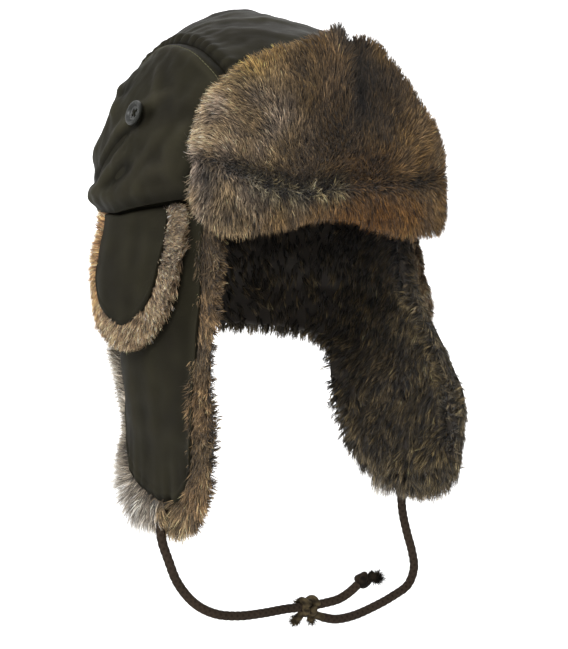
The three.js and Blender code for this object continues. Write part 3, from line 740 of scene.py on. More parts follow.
# Long folds of the top strip: side and distance along the strip.
TOP_FOLDS = table("fwd up toFwd toUp width rise", [
    (-44, 150, 20, 118, 4.5, 1.5), (-40, 170, 30, 150, 4, -1.3), (-46, 205, 10, 186, 4.5, 1.5), (-10, 130, 44, 112, 4, 1.2),
    (-46, 240, 0, 226, 5, 1.4), (-44, 120, -4, 96, 4, 1.3), (40, 160, 0, 190, 4, 1.2), (46, 220, 6, 240, 4.5, -1.2)])
fold_noise, crease_noise, fine_noise = Waves(3, 42), Waves(4, 17), Waves(5, 7)


def strokes(T, a, b):
    """Sum of soft strokes over a plane of two coordinates."""
    total = np.zeros_like(a)
    for i in range(len(T["rise"])):
        ax, ay, bx, by = (T[k][i] for k in ("fwd", "up", "toFwd", "toUp"))
        d = math.hypot(bx - ax, by - ay)
        ux, uy = (bx - ax) / d, (by - ay) / d
        s = ((a - ax) * ux + (b - ay) * uy) / d
        w = -(a - ax) * uy + (b - ay) * ux
        w = w + 5 * np.sin(s * 3.0 + i)
        total += T["rise"][i] * np.exp(-((w / T["width"][i]) ** 2)) * smoothstep(-0.15, 0.25, s) * (1 - smoothstep(0.7, 1.2, s))
    return total


def ripple(x, seed, low=7.0, high=14.0):
    """Uneven gathers along a line: sharp ridges and round hollows."""
    r = np.random.default_rng(seed)
    y = np.zeros_like(x)
    for _ in range(4):
        y = y + np.sin(2 * np.pi * x / r.uniform(low, high) + r.uniform(0, 6.28)) * r.uniform(0.3, 0.6)
    return y


def crown_side(hand):
    u, v = uv(150, 70)
    v = 1 - (1 - v) ** 1.35
    P = side_panel(hand, u, v)
    row = edge_at(CROWN, u)
    reach = np.hypot(row["fwd"] - HEM_FWD, row["up"] - HEM_UP)
    arc = np.concatenate([[0], np.cumsum(np.hypot(np.diff(row["fwd"][:, 0]), np.diff(row["up"][:, 0])))])[:, None]
    d = (1 - v) * reach
    fwd = -P[..., 1]
    up = P[..., 2] + COCK * P[..., 0]
    h = up - hem_up(fwd)
    N = normals(P)
    edge = smoothstep(0, 5, d)
    x = (1.35 - 0.8 * smoothstep(-56, -84, fwd)) * 2.0 * np.tanh(strokes(SIDE_FOLDS, fwd, up) / 2.0) * smoothstep(2, 16, d) * smoothstep(0, 12, h)
    x = x + ((0.75 - 0.5 * smoothstep(-50, -80, fwd)) * fold_noise(P) + 0.3 * crease_noise(P) + 0.07 * fine_noise(P) - 0.9) * edge * smoothstep(-1, 8, h)
    x = x + 0.3 * ripple(arc + 0 * v, 31 + hand, low=11, high=26) * np.exp(-d / 12) * smoothstep(0.2, 3, d)
    x = x - 1.2 * np.exp(-((d / 1.2) ** 2)) + 0.5 * bump(d, 3.6, 1.6) - 0.4 * bump(d, 2.3, 0.6) - 1.8 * bump(d, 5, 4) * bump(arc, 205, 26) * smoothstep(0.5, 5, d)
    x = x + 0.3 * ripple(fwd, 51 + hand, low=14, high=30) * bump(h, 4, 8) + 0.9 * bump(h, 10, 7) * (1 - smoothstep(-50, -80, fwd)) - 1.6 * (1 - smoothstep(0, 7, h))
    x = x * (1 - 0.75 * smoothstep(-64, -88, fwd) * smoothstep(6, 12, d))
    x = np.minimum(x, 3.2)
    # painted shade in the folds, the seam groove and under the hem, and painted light on the fold ridges and beside the
    # seam
    painted_shade = 0.85 * np.tanh(strokes(SIDE_FOLDS, fwd, up) / 1.6) * smoothstep(2, 12, d) + 0.05 * crease_noise(P) + 0.05 * fold_noise(P)
    painted_shade = painted_shade + 0.5 * bump(d, 3.6, 1.4) - 0.55 * bump(d, 0.4, 1.3) - 0.4 * bump(h, 1, 3) + 0.2 * bump(h, 8, 4)
    outer = P + N * x[..., None]
    inner = P - N * CROWN_WALL
    most = (row["side"] + 0.2)
    inner[..., 0] = hand * np.maximum(hand * inner[..., 0], most)
    side = "right" if hand < 0 else "left"
    verts, quads = wall_arrays(outer, inner, 0.2)
    obj = build(f"crown_side_{side}", verts, quads, colours=painted_fold_shade(verts, painted_shade))
    bm_clean(obj)
    smooth_by_angle(obj)
    give(obj, nylon, "nylon", f"crown_side_panel_{side}")
    return outer, u, v


def bm_clean(obj):
    import bmesh
    bm = bmesh.new()
    bm.from_mesh(obj.data)
    bmesh.ops.remove_doubles(bm, verts=bm.verts, dist=2e-6)
    bm.to_mesh(obj.data)
    bm.free()


def crown_top():
    nu, nv = 230, 70
    u, v = uv(nu, nv)
    v = 0.5 + 0.5 * np.sign(v - 0.5) * (1 - (1 - np.abs(2 * v - 1)) ** 1.2)
    P = top_strip(u, v)
    row = edge_at(CROWN, u)
    arc = np.concatenate([[0], np.cumsum(np.hypot(np.diff(row["fwd"][:, 0]), np.diff(row["up"][:, 0])))])[:, None] + 0 * v
    step = np.linalg.norm(np.diff(P, axis=1), axis=2)
    run = np.concatenate([np.zeros((nu, 1)), np.cumsum(step, 1)], 1)
    d = np.minimum(run, run[:, -1:] - run)
    left = v > 0.5
    N = normals(P)
    gather = np.where(left, ripple(arc, 72), ripple(arc, 71))
    body = smoothstep(0, 10, d)
    h = np.minimum(arc, arc[-1:] - arc)
    x = 1.3 * gather * np.exp(-d / 8) * smoothstep(0.1, 3, d)
    x = x + 0.6 * strokes(TOP_FOLDS, P[..., 0], arc)
    x = x + (0.5 * fold_noise(P + 40) + 0.24 * crease_noise(P + 40) + 0.05 * fine_noise(P) - 0.1) * body
    x = x - 1.3 * np.exp(-((d / 1.1) ** 2)) + 1.5 * bump(d, 6, 4) * smoothstep(0, 3, d) + 2.8 * bump(d, 11, 8) * bump(arc, 205, 24) * smoothstep(0.5, 6, d)
    x = x + 0.9 * bump(h, 9, 7)
    x = clamp(x, -2.0, 4.2)
    # painted shade and light of the gathers and long folds, with painted shade along the seams
    painted_shade = 0.45 * gather * np.exp(-d / 8) + 0.2 * strokes(TOP_FOLDS, P[..., 0], arc) + 0.05 * crease_noise(P + 40) - 0.5 * bump(d, 0.4, 1.2)
    outer = P + N * x[..., None]
    inner = P - N * CROWN_WALL
    most = row["side"] - 0.2
    inner[..., 0] = clamp(inner[..., 0], -most, most)
    verts, quads = wall_arrays(outer, inner, 0.2)
    obj = build("crown_top", verts, quads, colours=painted_fold_shade(verts, painted_shade))
    smooth_by_angle(obj)
    give(obj, nylon, "nylon", "crown_top_panel")


def stitches(points, normal, length=2.4, gap=1.1, radius=0.24, lift=0.12):
    """A row of short thread stitches along points."""
    path, total = resample(points, 0.25)
    d = np.linspace(0, total, len(path))
    src = np.concatenate([[0], np.cumsum(np.linalg.norm(np.diff(points, axis=0), axis=1))])
    n = np.stack([np.interp(d, src, normal[:, k]) for k in range(3)], -1)
    parts = []
    s = 0.5
    while s + length < total:
        i = np.searchsorted(d, np.linspace(s, s + length, 6))
        p = path[np.clip(i, 0, len(path) - 1)]
        m = n[np.clip(i, 0, len(path) - 1)]
        arch = np.sin(np.linspace(0, np.pi, 6))[:, None]
        parts.append(tube_arrays(p + m * (lift * arch - 0.08), radius, 6, True))
        s += length + gap
    return merged(parts)


def seam_thread(hand, outer, u, v):
    """The topstitch that follows the arch of the seam, on the side panel."""
    N = normals(outer)
    row = edge_at(CROWN, u)
    reach = np.hypot(row["fwd"] - HEM_FWD, row["up"] - HEM_UP)
    d = (1 - v) * reach
    k = np.array([np.interp(-2.3, -d[i], np.arange(d.shape[1])) for i in range(len(d))])
    i0 = np.floor(k).astype(int)
    f = (k - i0)[:, None]
    r = np.arange(len(k))
    p = outer[r, i0] * (1 - f) + outer[r, np.minimum(i0 + 1, outer.shape[1] - 1)] * f
    verts, quads, tris = stitches(p[8:-8], N[r, i0][8:-8])
    obj = build("thread_" + ("right" if hand < 0 else "left"), verts, quads, tris, True,
                np.tile(srgb(92, 90, 66), (len(verts), 1)))
    give(obj, cord_fibre, "nylon")


for hand in (-1, 1):
    seam_thread(hand, *crown_side(hand))
crown_top()


# ================================================================ buttons
def make_button(hand):
    uu, vv = uv(241, 241, (0.2, 0.8), (0.2, 0.95))
    P = side_panel(hand, uu, vv)
    miss = np.hypot(P[..., 1] + BUTTON["fwd"], P[..., 2] - BUTTON["up"])
    i, j = np.unravel_index(np.argmin(miss), miss.shape)
    n, p = normals(P)[i, j], P[i, j] + normals(P)[i, j] * 0.9
    R, T = BUTTON["radius"], BUTTON["thick"]
    profile = np.array([(0, T - 1.7), (R * 0.3, T - 1.7), (R - 3.4, T - 1.62), (R - 2.7, T - 1.2), (R - 2.1, T - 0.45), (R - 1.6, T - 0.1),
                        (R - 1.0, T), (R - 0.45, T - 0.25), (R - 0.1, T - 0.9), (R, T - 1.8), (R - 0.15, 0.9), (R - 0.8, 0.2), (R - 1.6, 0.0), (0.01, 0.0)])
    s = np.linspace(0, len(profile) - 1, 66)
    prof = np.stack([np.interp(s, np.arange(len(profile)), profile[:, k]) for k in (0, 1)], -1)
    prof[1:-1] = (prof[:-2] + 2 * prof[1:-1] + prof[2:]) / 4
    a = np.linspace(0, 2 * np.pi, 65)[:-1]
    r, h = prof[:, 0][:, None], prof[:, 1][:, None] + 0 * a[None, :]
    x, y = r * np.cos(a), r * np.sin(a)
    for k in range(4):
        cx, cy = 2.3 * math.cos(math.pi / 4 + k * math.pi / 2), 2.3 * math.sin(math.pi / 4 + k * math.pi / 2)
        hole = 1 - smoothstep(0.7, 1.15, np.hypot(x - cx, y - cy))
        h = h - 1.3 * hole * (h > T - 2)
    side = unit(np.cross(n, [0, 0, 1.0]))
    upv = np.cross(side, n)
    verts = p + x[..., None] * side + y[..., None] * upv + h[..., None] * n
    name = "right" if hand < 0 else "left"
    obj = build(f"button_plate_{name}", verts.reshape(-1, 3), grid_quads(len(prof), 64, closed_v=True))
    smooth_by_angle(obj, 60)
    give(obj, button_plastic, "button", f"button_{name}")
    parts = []
    for k in range(2):
        t = np.linspace(-1, 1, 12)
        for off in (-0.3, 0.3):
            q = math.pi / 4 + k * math.pi / 2
            c, s_ = math.cos(q), math.sin(q)
            line = p + ((t * 2.3 * c - off * s_)[:, None] * side + (t * 2.3 * s_ + off * c)[:, None] * upv
                        + (T - 1.55 + 0.35 * (1 - t**2) - 0.5 * (np.abs(t) > 0.95))[:, None] * n)
            parts.append(tube_arrays(line, 0.3, 8, True))
    verts, quads, tris = merged(parts)
    thread = build(f"button_thread_{name}", verts, quads, tris, True, np.tile(srgb(34, 33, 26), (len(verts), 1)))
    give(thread, cord_fibre, "button")


for hand in (-1, 1):
    make_button(hand)


# ================================================================ fur
def sample_fields(fields, count, rng):
    """Random places over grids of points by area and weight, with every attribute there."""
    cells = []
    for f in fields:
        P = f["P"]
        a = np.linalg.norm(np.cross(P[1:, :-1] - P[:-1, :-1], P[:-1, 1:] - P[:-1, :-1]), axis=-1)
        w = f["weight"]
        w = (w[1:, :-1] + w[:-1, :-1] + w[:-1, 1:] + w[1:, 1:]) / 4
        cells.append((a * w).ravel())
    total = np.concatenate(cells)
    pick = rng.choice(len(total), count, p=total / total.sum())
    out = {}
    first = 0
    for f, c in zip(fields, cells):
        mine = (pick >= first) & (pick < first + len(c))
        local = pick[mine] - first
        first += len(c)
        nv = f["P"].shape[1] - 1
        i, j = local // nv, local % nv
        s, t = rng.random(len(local))[:, None], rng.random(len(local))[:, None]
        for key, A in f.items():
            A = A if A.ndim == 3 else A[..., None]
            value = (A[i, j] * (1 - s) + A[i + 1, j] * s) * (1 - t) + (A[i, j + 1] * (1 - s) + A[i + 1, j + 1] * s) * t
            out.setdefault(key, np.zeros((count, A.shape[2])))[mine] = value
    return out


def comb(fields, count, seed, per_clump=5, spread=0.55, pull=0.45, width=0.42, wildness=0.3, contrast=0.42,
         darks=0.2, pales=0.14):
    """Fur as bent blades: clumps of hairs grow from the skin, lean along the flow and lift off it."""
    rng = np.random.default_rng(seed)
    clumps = count // per_clump
    c = sample_fields(fields, clumps, rng)
    k = np.repeat(np.arange(clumps), per_clump)
    n = len(k)
    N = unit(c["N"])
    flow = c["flow"]
    swirl = np.stack([Waves(seed + q, 26)(c["P"]) for q in (1, 2, 3)], -1) * 0.13
    aim = unit(flow + N * c["lift"] + swirl + rng.normal(size=(clumps, 3)) * c["jitter"] * 0.8)
    size = c["length"] * rng.uniform(0.82, 1.18, (clumps, 1))
    off = rng.normal(size=(n, 3)) * spread
    Nk = N[k]
    off -= Nk * np.sum(off * Nk, 1, keepdims=True)
    root = c["P"][k] + off - Nk * 0.5
    d = unit(aim[k] + rng.normal(size=(n, 3)) * c["jitter"][k])
    long = size[k] * rng.uniform(0.7, 1.15, (n, 1))
    tip = root + d * long
    goal = (c["P"] + aim * size)[k]
    tip = lerp(tip, goal, pull * rng.uniform(0.3, 1.2, (n, 1)))
    mid = root + unit(tip - root + Nk * long * 0.22) * long * 0.52 + rng.normal(size=(n, 3)) * 0.25
    across = unit(np.cross(tip - root, Nk + rng.normal(size=(n, 3)) * 0.55))
    w = width * rng.uniform(0.6, 1.25, (n, 1)) / 2
    verts = np.stack([root - across * w, root + across * w, mid + across * w * 0.85, mid - across * w * 0.85, tip], 1)
    tone = np.exp(rng.normal(size=(clumps, 1)) * contrast - contrast**2 / 2)[k] * np.exp(rng.normal(size=(n, 1)) * wildness) * 1.05
    kind = rng.random((n, 1))
    dark = (kind < darks) * 1.0
    pale = (kind > 1 - pales) * 1.0
    mid_c = c["mid"][k] * (1 - 0.65 * dark) * (1 + 0.25 * pale)
    tip_c = lerp(c["tip"][k], c["root"][k], 0.82 * dark) * (1 + 0.35 * pale)
    # Roots and middles darker than tips: partly the fur's own dark underfur, partly painted shade between the clumps.
    root_c = c["root"][k] * 0.4
    colours = np.stack([root_c, root_c, mid_c * 0.62, mid_c * 0.62, tip_c], 1) * tone[:, None]
    q = np.arange(n)[:, None] * 5
    return verts.reshape(-1, 3), q + np.array([[0, 1, 2, 3]]), q + np.array([[3, 2, 4]]), clamp(colours.reshape(-1, 3), 0.002, 0.9)


def fur_piece(name, skins, fields, count, seed, slot, node, **how):
    """One piece: its closed skin and the hairs that stand on it."""
    verts, quads, tris, colours, n = [], [], [], [], 0
    for v, q, t, c in skins + [comb(fields, count, seed, **how)]:
        verts.append(v)
        quads.append(q + n)
        if t is not None and len(t):
            tris.append(t + n)
        colours.append(c)
        n += len(v)
    obj = build(name, np.concatenate(verts), np.concatenate(quads), np.concatenate(tris), True, np.concatenate(colours))
    return give(obj, fur_hair, slot, node)


def blend_colours(base, zones):
    """Lays zones (weight array, colour) over a base colour."""
    c = base
    for w, colour in zones:
        c = lerp(c, np.asarray(colour), clamp(w)[..., None])
    return c


def flat(shape, value):
    return np.full(shape, float(value))


# ---------------------------------------------------------------- front flap
FUR_BROWN, FUR_DARK = srgb(108, 88, 64), srgb(54, 43, 33)
# Colours of the front flap: where they sit (side, up), how far they reach, how strong, and the colour.
FRONT_ZONES = [
    # side, up, reachSide, reachUp, strength, red, green, blue
    (-52, 60, 30, 34, 0.85, 146, 129, 113),
    (-62, 92, 20, 14, 0.6, 160, 136, 86),
    (-20, 60, 15, 28, 0.6, 98, 80, 58),
    (-44, 104, 34, 14, 0.8, 164, 134, 90),
    (-82, 60, 14, 50, 0.95, 214, 192, 176),
    (-66, 12, 16, 22, 0.8, 160, 143, 126),
    (-8, 92, 9, 30, 0.7, 124, 98, 68),
    (16, 62, 24, 38, 0.85, 68, 55, 40),
    (20, 88, 15, 26, 0.9, 40, 33, 27),
    (30, 100, 12, 10, 0.5, 122, 98, 62),
    (52, 45, 22, 30, 0.6, 128, 102, 66),
    (14, 36, 34, 9, 0.5, 128, 96, 56),
    (16, 12, 42, 13, 0.95, 124, 86, 40),
    (66, 8, 18, 22, 0.65, 136, 110, 78),
    (-38, 10, 22, 14, 0.6, 142, 118, 88),
]


def front_flap():
    nu, ns = 110, 72
    t, s = uv(nu, ns, (0, 1), (0, 16))
    s = s[:, :-1]
    t = t[:, :-1]
    thin = 5.5
    skin = front_fur(t, s, thin)
    verts = skin.reshape(-1, 3)
    quads = grid_quads(nu, ns - 1, closed_v=True)
    n = len(verts)
    caps = []
    for ring in (0, nu - 1):
        c = len(verts)
        verts = np.concatenate([verts, skin[ring].mean(0)[None]])
        k = np.arange(ns - 1)
        caps.append(np.stack([np.full(ns - 1, c), ring * (ns - 1) + k, ring * (ns - 1) + (k + 1) % (ns - 1)], -1))
    skin_part = (verts, quads, np.concatenate(caps), np.tile(srgb(26, 21, 16), (len(verts), 1)))
    # Where the hairs grow: from behind the top edge, over the face and the roll, to under the low edge.
    t, s = uv(190, 150, (0, 1), (4.2, 15.9))
    P = front_fur(t, s, thin)
    row = front_back(t)
    du, ds = np.gradient(P, axis=0), np.gradient(P, axis=1)
    N = unit(np.cross(du, ds))
    middle = point(row["side"], row["fwd"] + 3, (row["low"] + row["high"]) / 2)
    if np.sum(N * (P - middle)) < 0:
        N = -N
    side, up = row["side"], P[..., 2]
    down = unit(ds)
    along = unit(du)
    roll = (s > 11.2) * 1.0
    crease = np.exp(-(((s - 11.0) / 0.55) ** 2))
    edge = smoothstep(0.55, 1.0, np.abs(2 * t - 1))
    hand = np.sign(t - 0.5)
    # The nap of the face runs up and out to both ends; on the roll it runs down.
    top = np.exp(-(((s - 6.3) / 1.1) ** 2))
    turn = np.radians(np.interp(side, [-82, -60, -35, -5, 30, 60, 81], [-68, -50, -26, -4, 10, 28, 52]))
    wander = 0.28 * Waves(83, 30)(P)
    upward = -down * np.cos(turn + wander)[..., None] + along * np.sin(turn + wander)[..., None]
    downward = down * 0.9 + along * (0.2 * hand * edge)[..., None] + np.array([0, -0.15, -0.3])
    part = smoothstep(10.6, 11.6, s)[..., None]
    flow = upward * (1 - part) + downward * part
    flow = flow + along * (hand * edge * 0.25 * smoothstep(0.8, 1, np.abs(2 * t - 1)))[..., None]
    crest = bump(side, 3, 4) * bump(s, 6.6, 1.0)
    flow = flow + np.array([0.12, 0, 0.9]) * crest[..., None]
    lift = 0.62 + 0.45 * crease + 0.2 * top + 0.15 * roll
    length = 6.9 + 0.6 * crease + 0.6 * roll - 1.0 * top - 1.0 * edge + 2.0 * crest
    zones = []
    for zs, zu, rs, ru, strength, r, g, b in FRONT_ZONES:
        zones.append((strength * np.exp(-(((side - zs) / rs) ** 2 + ((up - zu) / ru) ** 2) ** 1.3), srgb(r, g, b)))
    # Painted shade in the fold between the face and the roll, strongest on the left half, with a second spot at side
    # 46.
    crease_shade = np.exp(-(((s - 11.1) / 0.52) ** 2)) * (0.36 + 0.6 * smoothstep(-78, -62, side) * (1 - smoothstep(-12, 10, side)))
    zones.append((crease_shade + 0.7 * bump(side, 46, 6) * bump(s, 11, 0.8), srgb(34, 31, 27)))
    # Painted shade in the slot near the roll's end at side -76.
    zones.append((0.95 * bump(side, -76, 4.5) * bump(s, 12.2, 1.2), srgb(44, 45, 47)))
    tufts = smoothstep(0.1, 0.7, Waves(84, 5)(P * np.array([1, 1, 0.5])))[..., None]
    chunky = 0.95 * bump(s, 11.8, 0.95) * smoothstep(-66, -54, side) * (1 - smoothstep(-14, 2, side))
    zones.append((chunky, lerp(srgb(20, 20, 18), srgb(190, 178, 152), tufts)))
    seam = bump(side, 10, 5) * smoothstep(46, 70, up) * (s < 11)
    zones.append((0.95 * seam, srgb(26, 22, 18)))
    zones.append((0.9 * crest, srgb(46, 43, 41)))
    mid = blend_colours(np.broadcast_to(FUR_BROWN, P.shape), zones)
    patch = (1 + 0.16 * Waves(81, 15)(P) + 0.08 * Waves(82, 6)(P))[..., None]
    mid = mid * clamp(patch, 0.5, 1.5) * np.array([0.94, 0.90, 0.76])
    warm = (0.5 + 0.5 * np.tanh(1.1 * Waves(85, 20)(P)))[..., None]
    mid = mid * lerp(np.array([0.96, 0.98, 1.08]), np.array([1.05, 0.99, 0.8]), warm)
    mid = mid * (1 - 0.2 * smoothstep(11.6, 12.6, s) * (1 - smoothstep(24, 50, side)))[..., None] * (1 - 0.3 * bump(side, -14, 16) * (s < 11))[..., None]
    tip = mid * 1.45 + 0.004
    rootc = lerp(FUR_DARK, mid * 0.4, 0.5)
    weight = 1.0 * smoothstep(4.2, 5.0, s) * (1 - 0.55 * smoothstep(14.6, 15.9, s)) * (1 - 0.5 * seam)
    fields = [dict(P=P, N=N, flow=flow, lift=lift, length=length, weight=weight, mid=mid, tip=tip, root=rootc,
                   jitter=flat(t.shape, 0.15) + 0.3 * crease + 0.25 * chunky)]
    # The two ends.
    for end_t, hand in ((0.004, -1), (0.996, 1)):
        ring = front_fur(np.full(24, end_t), np.linspace(5, 15.9, 24), thin)
        centre = ring.mean(0)
        g = np.linspace(0, 1, 6)[None, :, None]
        E = centre + (ring[:, None] - centre) * g
        n = np.zeros_like(E)
        n[:] = unit(np.array([hand * 1.0, 0.3, 0.0]))
        m = np.broadcast_to(srgb(152, 134, 110) if hand < 0 else srgb(126, 104, 72), E.shape)
        shape = E.shape[:2]
        fields.append(dict(P=E, N=n, flow=np.zeros_like(E) + np.array([0, -0.2, -0.3]), lift=flat(shape, 1.0), length=flat(shape, 8.0 if hand < 0 else 9.5),
                           weight=flat(shape, 1.2), mid=m, tip=m * 1.3, root=m * 0.3, jitter=flat(shape, 0.42)))
    fur_piece("front_fur", [skin_part], fields, 60500, 100, "fur_front", "front_flap_fur", width=0.42, per_clump=3, spread=0.45,
              pull=0.35, contrast=0.26, wildness=0.42, darks=0.3, pales=0.2)


front_flap()


def front_shell():
    u, v = uv(60, 24)
    row = front_back(lerp(0.02, 0.98, u))
    up = lerp(row["low"] + 9, row["high"] - 6, v)
    P = front_point(row, -0.8 + 0 * up, up)
    outer, inner = P, front_point(row, -0.8 - NYLON + 0 * up, up)
    verts, quads = wall_arrays(outer, inner)
    obj = build("front_shell", verts, quads, colours=painted_fold_shade(verts, np.zeros(u.shape)))
    smooth_by_angle(obj)
    give(obj, nylon, "nylon", "front_flap_shell")


front_shell()


# ---------------------------------------------------------------- ear flaps
def low_edge(T, hand, along):
    return np.interp(along, T["along"], T["right" if hand < 0 else "left"])


def ear_flap(hand):
    side = "right" if hand < 0 else "left"
    # nylon side
    u, v = uv(140, 64)
    v = 1 - (1 - v) ** 1.3
    P, along, up = flap_surface(hand, FLAP_EDGE, 0.4, 3, u, v)
    low = low_edge(FLAP_EDGE, hand, along)
    scallop = 1.6 * np.abs(np.sin(along / 4.6 + 1.1 * np.sin(along / 13))) * smoothstep(0.9, 1, v) * smoothstep(118, 135, along)
    P[..., 2] += scallop
    N = normals(P)
    near = np.minimum(np.abs(up - low), 60)
    gather = ripple(along, 90 + hand, low=9, high=22)
    x = 0.5 * gather * np.exp(-near / 13) * smoothstep(100, 130, along)
    x = x + 0.22 * ripple(along, 93 + hand, low=24, high=44) + 0.35 * fold_noise(P + 90) + 0.16 * crease_noise(P)
    x = x * smoothstep(-2, 14, hem_over(hand, plan_at(along)) - up)
    x = x + 0.5 * bump(near, 3.5, 2.0) - 0.25 * bump(near, 7, 0.9)
    x = clamp(x, -1.0, 1.9)
    # the cover lies over this stretch, so the nylon stays low there
    under = smoothstep(COVER_START - 14, COVER_START, along) * (1 - smoothstep(COVER_START + 76, COVER_START + 88, along)) * smoothstep(-84, -70, up)
    x = x * (1 - 0.8 * under)
    # painted shade and light of the gathers and folds, painted shade at the rim and painted light just inside it
    painted_shade = 0.22 * gather * np.exp(-near / 14) * smoothstep(100, 130, along) + 0.16 * ripple(along, 93 + hand, low=24, high=44) + 0.05 * crease_noise(P)
    painted_shade = painted_shade - 0.3 * bump(near, 0, 2.5) + 0.2 * bump(near, 4, 1.5)
    outer = halved(hand, P + N * x[..., None])
    inner = halved(hand, P - N * NYLON)
    verts, quads = wall_arrays(outer, inner, 0.45)
    obj = build(f"flap_shell_{side}", verts, quads, colours=painted_fold_shade(verts, painted_shade))
    smooth_by_angle(obj)
    give(obj, nylon, "nylon", f"ear_flap_shell_{side}")

    # fur side: the skin lies inside the fur's outline
    thin = 5.0

    def fur_faces(nu, nv, inset):
        u, v = uv(nu, nv)
        P, along, up = flap_surface(hand, FLAP_FUR_EDGE, 0.4, -1, u, v)
        deep = FLAP_FUR - 5 * smoothstep(-25, -50, up) + 7 * smoothstep(-70, -110, up)
        deep = deep * (0.3 + 0.7 * clamp((1 - v) / 0.14) ** 0.5) * (0.35 + 0.65 * clamp((1 - u) / 0.05) ** 0.5)
        deep = np.maximum(deep - inset, 1.2)
        # pull the rim of the skin in from the fur's edge
        shrink_v = clamp(1 - 0.9 * inset * smoothstep(0.75, 1, v) / np.maximum(np.abs(up[:, -1:] - up[:, :1]), 1))
        Q, along2, up2 = flap_surface(hand, FLAP_FUR_EDGE, 0.4, -1, u * (1 - 0.012 * (inset > 0)), v * shrink_v)
        N2 = normals(Q)
        return Q - N2 * (NYLON + 5 * GAP), Q - N2 * (NYLON + 5 * GAP + deep)[..., None], N2, u, v, along2, up2

    O, I, N, u, v, along, up = fur_faces(60, 36, thin)
    O, I = halved(hand, O), halved(hand, I)
    verts, quads = wall_arrays(O, I, 0.3)
    skin_part = (verts, quads, None, np.tile(srgb(42, 35, 27), (len(verts), 1)))

    # colours by place on the flap
    def colours(P, along, up, inner):
        base = np.broadcast_to((srgb(104, 86, 60) if hand < 0 else srgb(84, 74, 54)) if not inner else srgb(74, 62, 40), P.shape)
        low = low_edge(FLAP_FUR_EDGE, hand, along)
        bottom = 1 - smoothstep(4, 30, up - low)
        grey = 1.0 if hand < 0 else 0.22
        front = smoothstep(196, 222, along)
        zones = [
            (0.9 * grey * (1 - smoothstep(120, 172, along)) * (1 - smoothstep(-90, -70, up)), srgb(182, 170, 152)),
            (0.95 * grey * bump(along, 150, 24) * bottom, srgb(218, 207, 192)),
            (0.75 * grey * bump(along, 203, 16) * bottom, srgb(172, 146, 108)),
            (0.7 * front * (1 - smoothstep(-40, 0, up)) * (0.55 + 0.45 * np.sin(up / 9.0)), srgb(142, 112, 76) if hand < 0 else srgb(106, 92, 66)),
            (0.6 * front * smoothstep(-60, -10, up), srgb(72, 58, 42)),
        ]
        if inner:
            # on the inner face, painted shade towards the top, inside the hat
            zones = [(0.8 * smoothstep(-40, 0, up), srgb(44, 36, 26)),
                     (0.5 * smoothstep(150, 215, along) * (1 - smoothstep(-60, -20, up)), srgb(94, 80, 50)),
                     ((0.85 if hand < 0 else 0.0) * smoothstep(190, 214, along), srgb(138, 112, 78)),
                     (0.45 * bottom, srgb(104, 91, 66)),
                     (0.4 * bump(up, -95, 30) * bump(along, 170, 25), srgb(58, 48, 34))]
        mid = blend_colours(base, zones)
        return mid * clamp(1 + 0.2 * Waves(120, 12)(P) + 0.1 * Waves(121, 5)(P), 0.45, 1.6)[..., None]

    # on the right flap the back border thins out above the pale lobe
    waist = 0.38 if hand < 0 else 0.0
    fields = []
    for inner in (False, True):
        O, I, N, u, v, along, up = fur_faces(230, 120, thin)
        P = halved(hand, I if inner else O)
        N = normals(P) * (-1 if inner else 1)
        low_s = low_edge(FLAP_EDGE, hand, np.minimum(along, 222))
        low_f = low_edge(FLAP_FUR_EDGE, hand, along)
        beyond = np.maximum(low_s - up, (along - 219) * 1.0)
        dv = unit(np.gradient(P, axis=1))
        du = unit(np.gradient(P, axis=0))
        near_low = 1 - smoothstep(0, 26, up - low_f)
        near_front = smoothstep(205, 230, along)
        near_back = (1 - smoothstep(124, 158, along)) * (1 - smoothstep(-78, -66, up))
        mid = colours(P, along, up, inner)
        pale_part = 0.0 * u if inner else clamp(near_back + bump(along, 150, 22) * near_low)
        if inner:
            flow = dv * 0.75 + du * (0.25 + 0.7 * near_front - 0.5 * near_back)[..., None]
            lift = 0.55 + 0.1 * near_low - (0.2 if hand < 0 else 0.0) * near_front
            weight = 0.35 + 0.65 * smoothstep(100, 140, along)
            length = 10.0 - (3.2 if hand < 0 else 0.0) * near_front
        else:
            flow = dv * (1.2 * near_low + 0.35)[..., None] + du * (0.6 * near_front - 0.8 * near_back)[..., None] + np.array([0, 0, -0.8]) * near_front[..., None]
            lift = 0.35 + 0.75 * near_back
            weight = (5.0 if hand < 0 else 3.0) * smoothstep(-2.0 - 3.0 * near_back, 0.2, beyond)
            length = 8.5 + 1.0 * near_low + 4.5 * near_back + (11.0 * bump(along, 150, 20) + 3.5 * bump(along, 196, 16)) * near_low
            length = length * (1 - waist * bump(P[..., 2], -126, 18) * (1 - smoothstep(150, 175, along)))
        fields.append(dict(P=P, N=N, flow=flow, lift=lift, length=length, weight=weight, mid=mid * (0.72 if inner else 1.0), tip=mid * (2.1 if inner else 1.7) + 0.01,
                           root=mid * (0.3 + 0.55 * pale_part)[..., None], jitter=flat(u.shape, 0.2)))
        if not inner:
            keep_o, keep_c, keep_a, keep_pale = P, mid, along, pale_part
        else:
